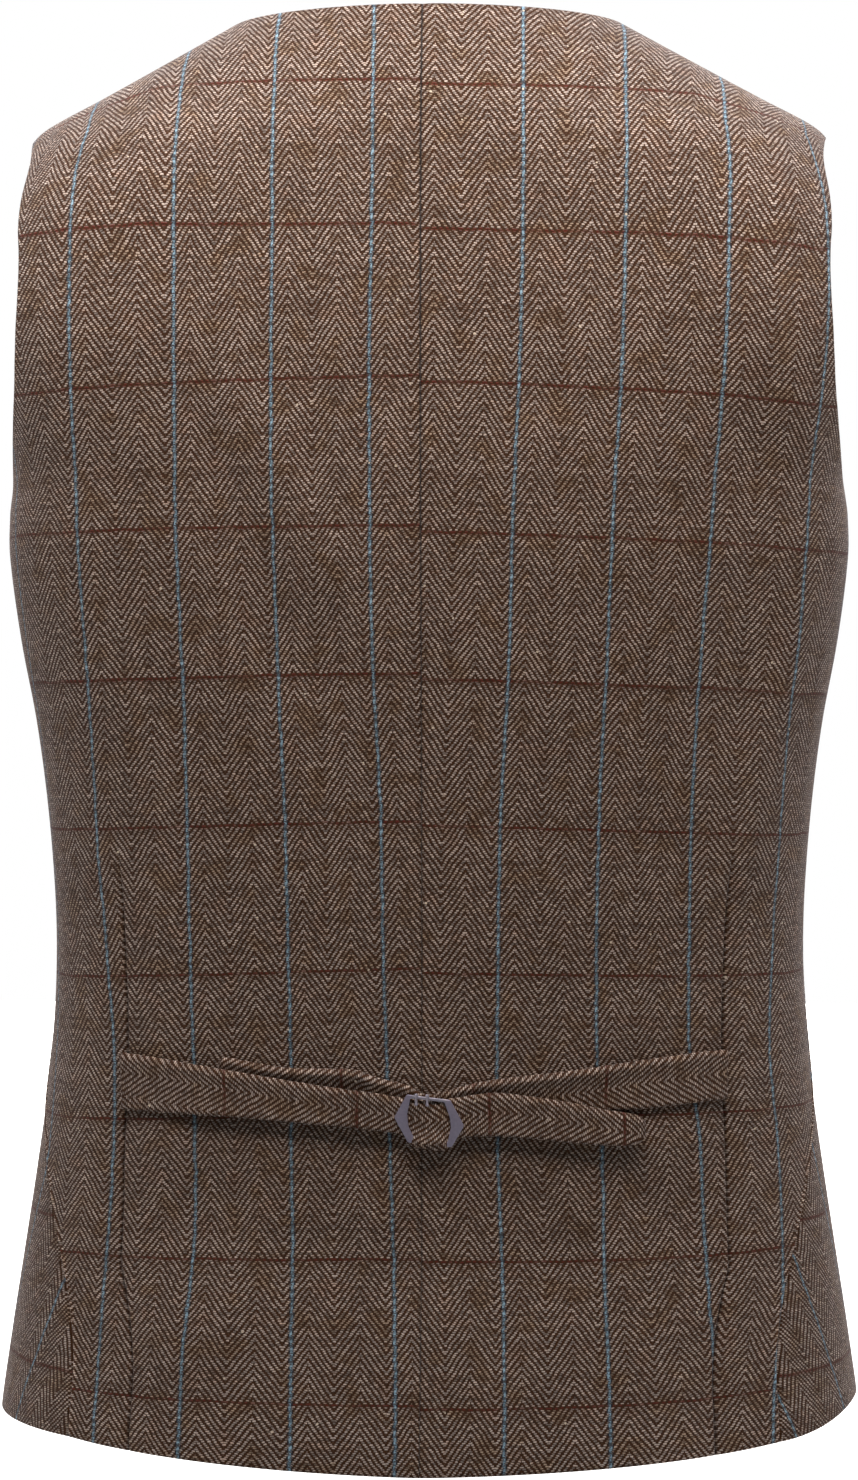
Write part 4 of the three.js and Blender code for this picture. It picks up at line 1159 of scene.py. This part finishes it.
# Buttons: five turned horn buttons with a raised rim and four holes, sewn on with brown thread. The
# buttonholes beneath them are worked round with the same thread in the left front.
BUTTON_HEIGHTS = (-280, -354, -428, -502, -576)
BUTTON_RIM = (
    (5.0, 2.4), (5.4, 2.55), (5.9, 2.95), (6.5, 3.1), (7.1, 3.0), (7.6, 2.6),
    (7.9, 2.0), (7.9, 1.1), (7.6, 0.5), (7.1, 0.15), (6.4, 0), (3, 0), (0.02, 0),
)
BUTTON_FACE = {"radius": 5.0, "height": 2.4, "rings": 36, "sides": 72}
BUTTON_HOLE = {"off": 1.35, "radius": 0.75, "deep": 1.6, "edge": 0.12}
BUTTON_LIFT = 0.3
SEWING = {"length": 3.1, "radius": 0.24, "spacing": 0.42, "rise": 0.55, "path": 0.9, "sunk": 0.1}
BUTTONHOLE = {
    "middle": -6.0, "half": 9.0, "side": 1.05, "sunk": 0.05, "bend": 0.0012,
    "length": 2.1, "radius": 0.24, "spacing": 0.52, "rise": 0.5,
}
UNEVENNESS = 0.08


def stitch_tree():
    """Stitches side by side along a flat path, each an arch of thread that crosses it."""
    tree = bpy.data.node_groups.new("stitches_along_a_path", "GeometryNodeTree")
    tree.interface.new_socket(name="Path", in_out="INPUT", socket_type="NodeSocketGeometry")
    for name in ("Stitch length", "Thread radius", "Spacing", "Rise", "Unevenness"):
        tree.interface.new_socket(name=name, in_out="INPUT", socket_type="NodeSocketFloat")
    tree.interface.new_socket(name="Seed", in_out="INPUT", socket_type="NodeSocketInt")
    tree.interface.new_socket(name="Thread", in_out="INPUT", socket_type="NodeSocketMaterial")
    tree.interface.new_socket(name="Stitches", in_out="OUTPUT", socket_type="NodeSocketGeometry")
    given = add(tree, "NodeGroupInput").outputs
    half = add(tree, "ShaderNodeMath", (given["Stitch length"], 0.5), operation="MULTIPLY")
    back = add(tree, "ShaderNodeMath", (half, -1.0), operation="MULTIPLY")
    top = add(tree, "ShaderNodeMath", (given["Rise"], 2.0), operation="MULTIPLY")
    start = add(tree, "ShaderNodeCombineXYZ", {"X": back})
    crest = add(tree, "ShaderNodeCombineXYZ", {"Z": top})
    end = add(tree, "ShaderNodeCombineXYZ", {"X": half})
    ends = {"Resolution": 6, "Start": start, "Middle": crest, "End": end}
    arch = add(tree, "GeometryNodeCurveQuadraticBezier", ends)
    around = {"Resolution": 7, "Radius": given["Thread radius"]}
    round_thread = add(tree, "GeometryNodeCurvePrimitiveCircle", around)
    drawn = {"Curve": arch, "Profile Curve": round_thread, "Fill Caps": True}
    stitch = add(tree, "GeometryNodeCurveToMesh", drawn)
    line = add(tree, "GeometryNodeMeshToCurve", {"Mesh": given["Path"]})
    spaced = {"Curve": line, "Length": given["Spacing"]}
    points = add(tree, "GeometryNodeCurveToPoints", spaced, mode="LENGTH")
    tangent = {"Vector": points.outputs["Tangent"]}
    turned = add(tree, "FunctionNodeAlignRotationToVector", tangent, axis="Y", pivot_axis="Z")
    low = add(tree, "ShaderNodeMath", (1.0, given["Unevenness"]), operation="SUBTRACT")
    high = add(tree, "ShaderNodeMath", (1.0, given["Unevenness"]), operation="ADD")
    between = {"Min": low, "Max": high, "Seed": given["Seed"]}
    size = add(tree, "FunctionNodeRandomValue", between, data_type="FLOAT")
    scale = next(socket for socket in size.outputs if socket.enabled)
    row = {"Points": points, "Instance": stitch, "Rotation": turned, "Scale": scale}
    placed = add(tree, "GeometryNodeInstanceOnPoints", row)
    real = add(tree, "GeometryNodeRealizeInstances", (placed,))
    done = add(tree, "GeometryNodeSetMaterial", {"Geometry": real, "Material": given["Thread"]})
    add(tree, "NodeGroupOutput", {"Stitches": done})
    return tree


def sewn(name, paths, sizes, seed, thread, onto):
    """Plain stitches along flat paths, which `onto` then lays on the cloth or on a button."""
    points = [point for path in paths for point in path]
    edges, first = [], 0
    for path in paths:
        edges += [(first + k, first + k + 1) for k in range(len(path) - 1)]
        first += len(path)
    mesh = bpy.data.meshes.new(name + "_path")
    mesh.from_pydata([(x * MM, y * MM, 0) for x, y in points], edges, [])
    guide = in_scene(name + "_path", mesh)
    modifier = guide.modifiers.new("stitches", "NODES")
    modifier.node_group = STITCHES
    values = {
        "Stitch length": sizes["length"] * MM,
        "Thread radius": sizes["radius"] * MM,
        "Spacing": sizes["spacing"] * MM,
        "Rise": sizes["rise"] * MM,
        "Unevenness": UNEVENNESS,
        "Seed": seed,
        "Thread": thread,
    }
    for socket in STITCHES.interface.items_tree:
        if socket.name in values:
            modifier[socket.identifier] = values[socket.name]
    shown = guide.evaluated_get(bpy.context.evaluated_depsgraph_get())
    made = bpy.data.meshes.new_from_object(shown)
    bpy.data.objects.remove(guide)
    flat = np.empty(len(made.vertices) * 3)
    made.vertices.foreach_get("co", flat)
    laid = onto(*(flat.reshape(-1, 3) / MM).T) * MM
    made.vertices.foreach_set("co", laid.ravel())
    made.polygons.foreach_set("use_smooth", np.ones(len(made.polygons), bool))
    made.update()
    piece = in_scene(name, made)
    face_outwards(piece)
    return piece


def horn_material():
    """Polished dark brown horn: a satin gloss over cloudy brown with paler streaks."""
    settings = {"Roughness": 0.32, "Specular IOR Level": 0.5, "Coat Weight": 0.25, "Coat Roughness": 0.2}
    material, tree, shader = new_material("dark_horn", settings)
    place = add(tree, "ShaderNodeTexCoord").outputs["Object"]
    along = add(tree, "ShaderNodeMapping", {"Vector": place, "Scale": (260.0, 260.0, 90.0)})
    streaks = {"Vector": along, "Scale": 1.0, "Detail": 4.0, "Distortion": 1.2}
    cloud = add(tree, "ShaderNodeTexNoise", streaks)
    tint = add(tree, "ShaderNodeValToRGB", (cloud,))
    stops = tint.color_ramp.elements
    stops[0].position, stops[0].color = 0.35, linear("#1f140e")
    stops[1].position, stops[1].color = 0.75, linear("#6d4c33")
    stops.new(0.55).color = linear("#3a271b")
    tree.links.new(tint.outputs[0], shader.inputs["Base Color"])
    return material


def thread_material():
    """Brown sewing thread: finely mottled and matt, with a faint sheen."""
    material, tree, shader = new_material(
        "brown_thread", {"Roughness": 0.75, "Sheen Weight": 0.3, "Sheen Roughness": 0.5}
    )
    place = add(tree, "ShaderNodeTexCoord").outputs["Object"]
    turns = add(tree, "ShaderNodeTexNoise", {"Vector": place, "Scale": 3500.0, "Detail": 2.0})
    tints = {"Factor": turns, 6: linear("#3a281d"), 7: linear("#6b5140")}
    tint = add(tree, "ShaderNodeMix", tints, data_type="RGBA").outputs[2]
    tree.links.new(tint, shader.inputs["Base Color"])
    return material


STITCHES = stitch_tree()
horn, thread = horn_material(), thread_material()


def button_rings():
    """The button's rings, from the middle of its face over the rim to the middle of its back."""
    turn = np.linspace(0, math.tau, BUTTON_FACE["sides"], endpoint=False)
    rings = []
    for radius in np.linspace(0.02, BUTTON_FACE["radius"], BUTTON_FACE["rings"])[:-1]:
        x, y = radius * np.cos(turn), radius * np.sin(turn)
        off = np.hypot(np.abs(x) - BUTTON_HOLE["off"], np.abs(y) - BUTTON_HOLE["off"])
        edge = BUTTON_HOLE["edge"]
        sunk = BUTTON_HOLE["deep"] * (1 - ease((off - BUTTON_HOLE["radius"] + edge) / (2 * edge)))
        rings.append((x, y, BUTTON_FACE["height"] - sunk))
    for radius, height in BUTTON_RIM:
        rings.append((radius * np.cos(turn), radius * np.sin(turn), np.full_like(turn, height)))
    return rings


def stadium(half, side, count=14):
    """A long path round a slit, closed."""
    turn = np.linspace(-math.pi / 2, math.pi / 2, count)
    right = np.stack([half - side + side * np.cos(turn), side * np.sin(turn)], axis=-1)
    outline = np.concatenate([right, -right, right[:1]])
    return outline + [BUTTONHOLE["middle"], 0]


def on_front(x, z):
    """A place on the left front near the centre front, and the way out of it."""
    run = run_at_front_width(np.array([z], float), np.array([x], float))
    height = np.array([z], float)
    return surface(run, height)[0], normal(run, height)[0]


for k, z in enumerate(BUTTON_HEIGHTS, 1):
    place, way = on_front(0, z)
    here = flat_on(place, way)
    rings = [here(x, y, h + BUTTON_LIFT) for x, y, h in button_rings()]
    button = tube_mesh(f"button_{k}_horn", rings)
    button.data.materials.append(horn)
    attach(button, "root")
    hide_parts(f"button_{k}")

    off, reach = BUTTON_HOLE["off"], SEWING["path"] / 2
    paths = [[(0, y - reach), (0, y + reach)] for y in (-off, off)]
    face = BUTTON_LIFT + BUTTON_FACE["height"] - SEWING["sunk"]
    strands = sewn(
        f"button_{k}_thread", paths, SEWING, k, thread,
        onto=lambda x, y, h: here(x, y, h + face),
    )
    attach(strands, "root")

    # Seen from the front, the wearer's left is to the right, and the hole runs that way from the button.
    slit = [stadium(BUTTONHOLE["half"], BUTTONHOLE["side"])]
    hole = sewn(
        f"buttonhole_{k}", slit, BUTTONHOLE, 10 + k, thread,
        onto=lambda x, y, h: here(-x, y, h - BUTTONHOLE["sunk"] - BUTTONHOLE["bend"] * x**2),
    )
    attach(hole, "root")
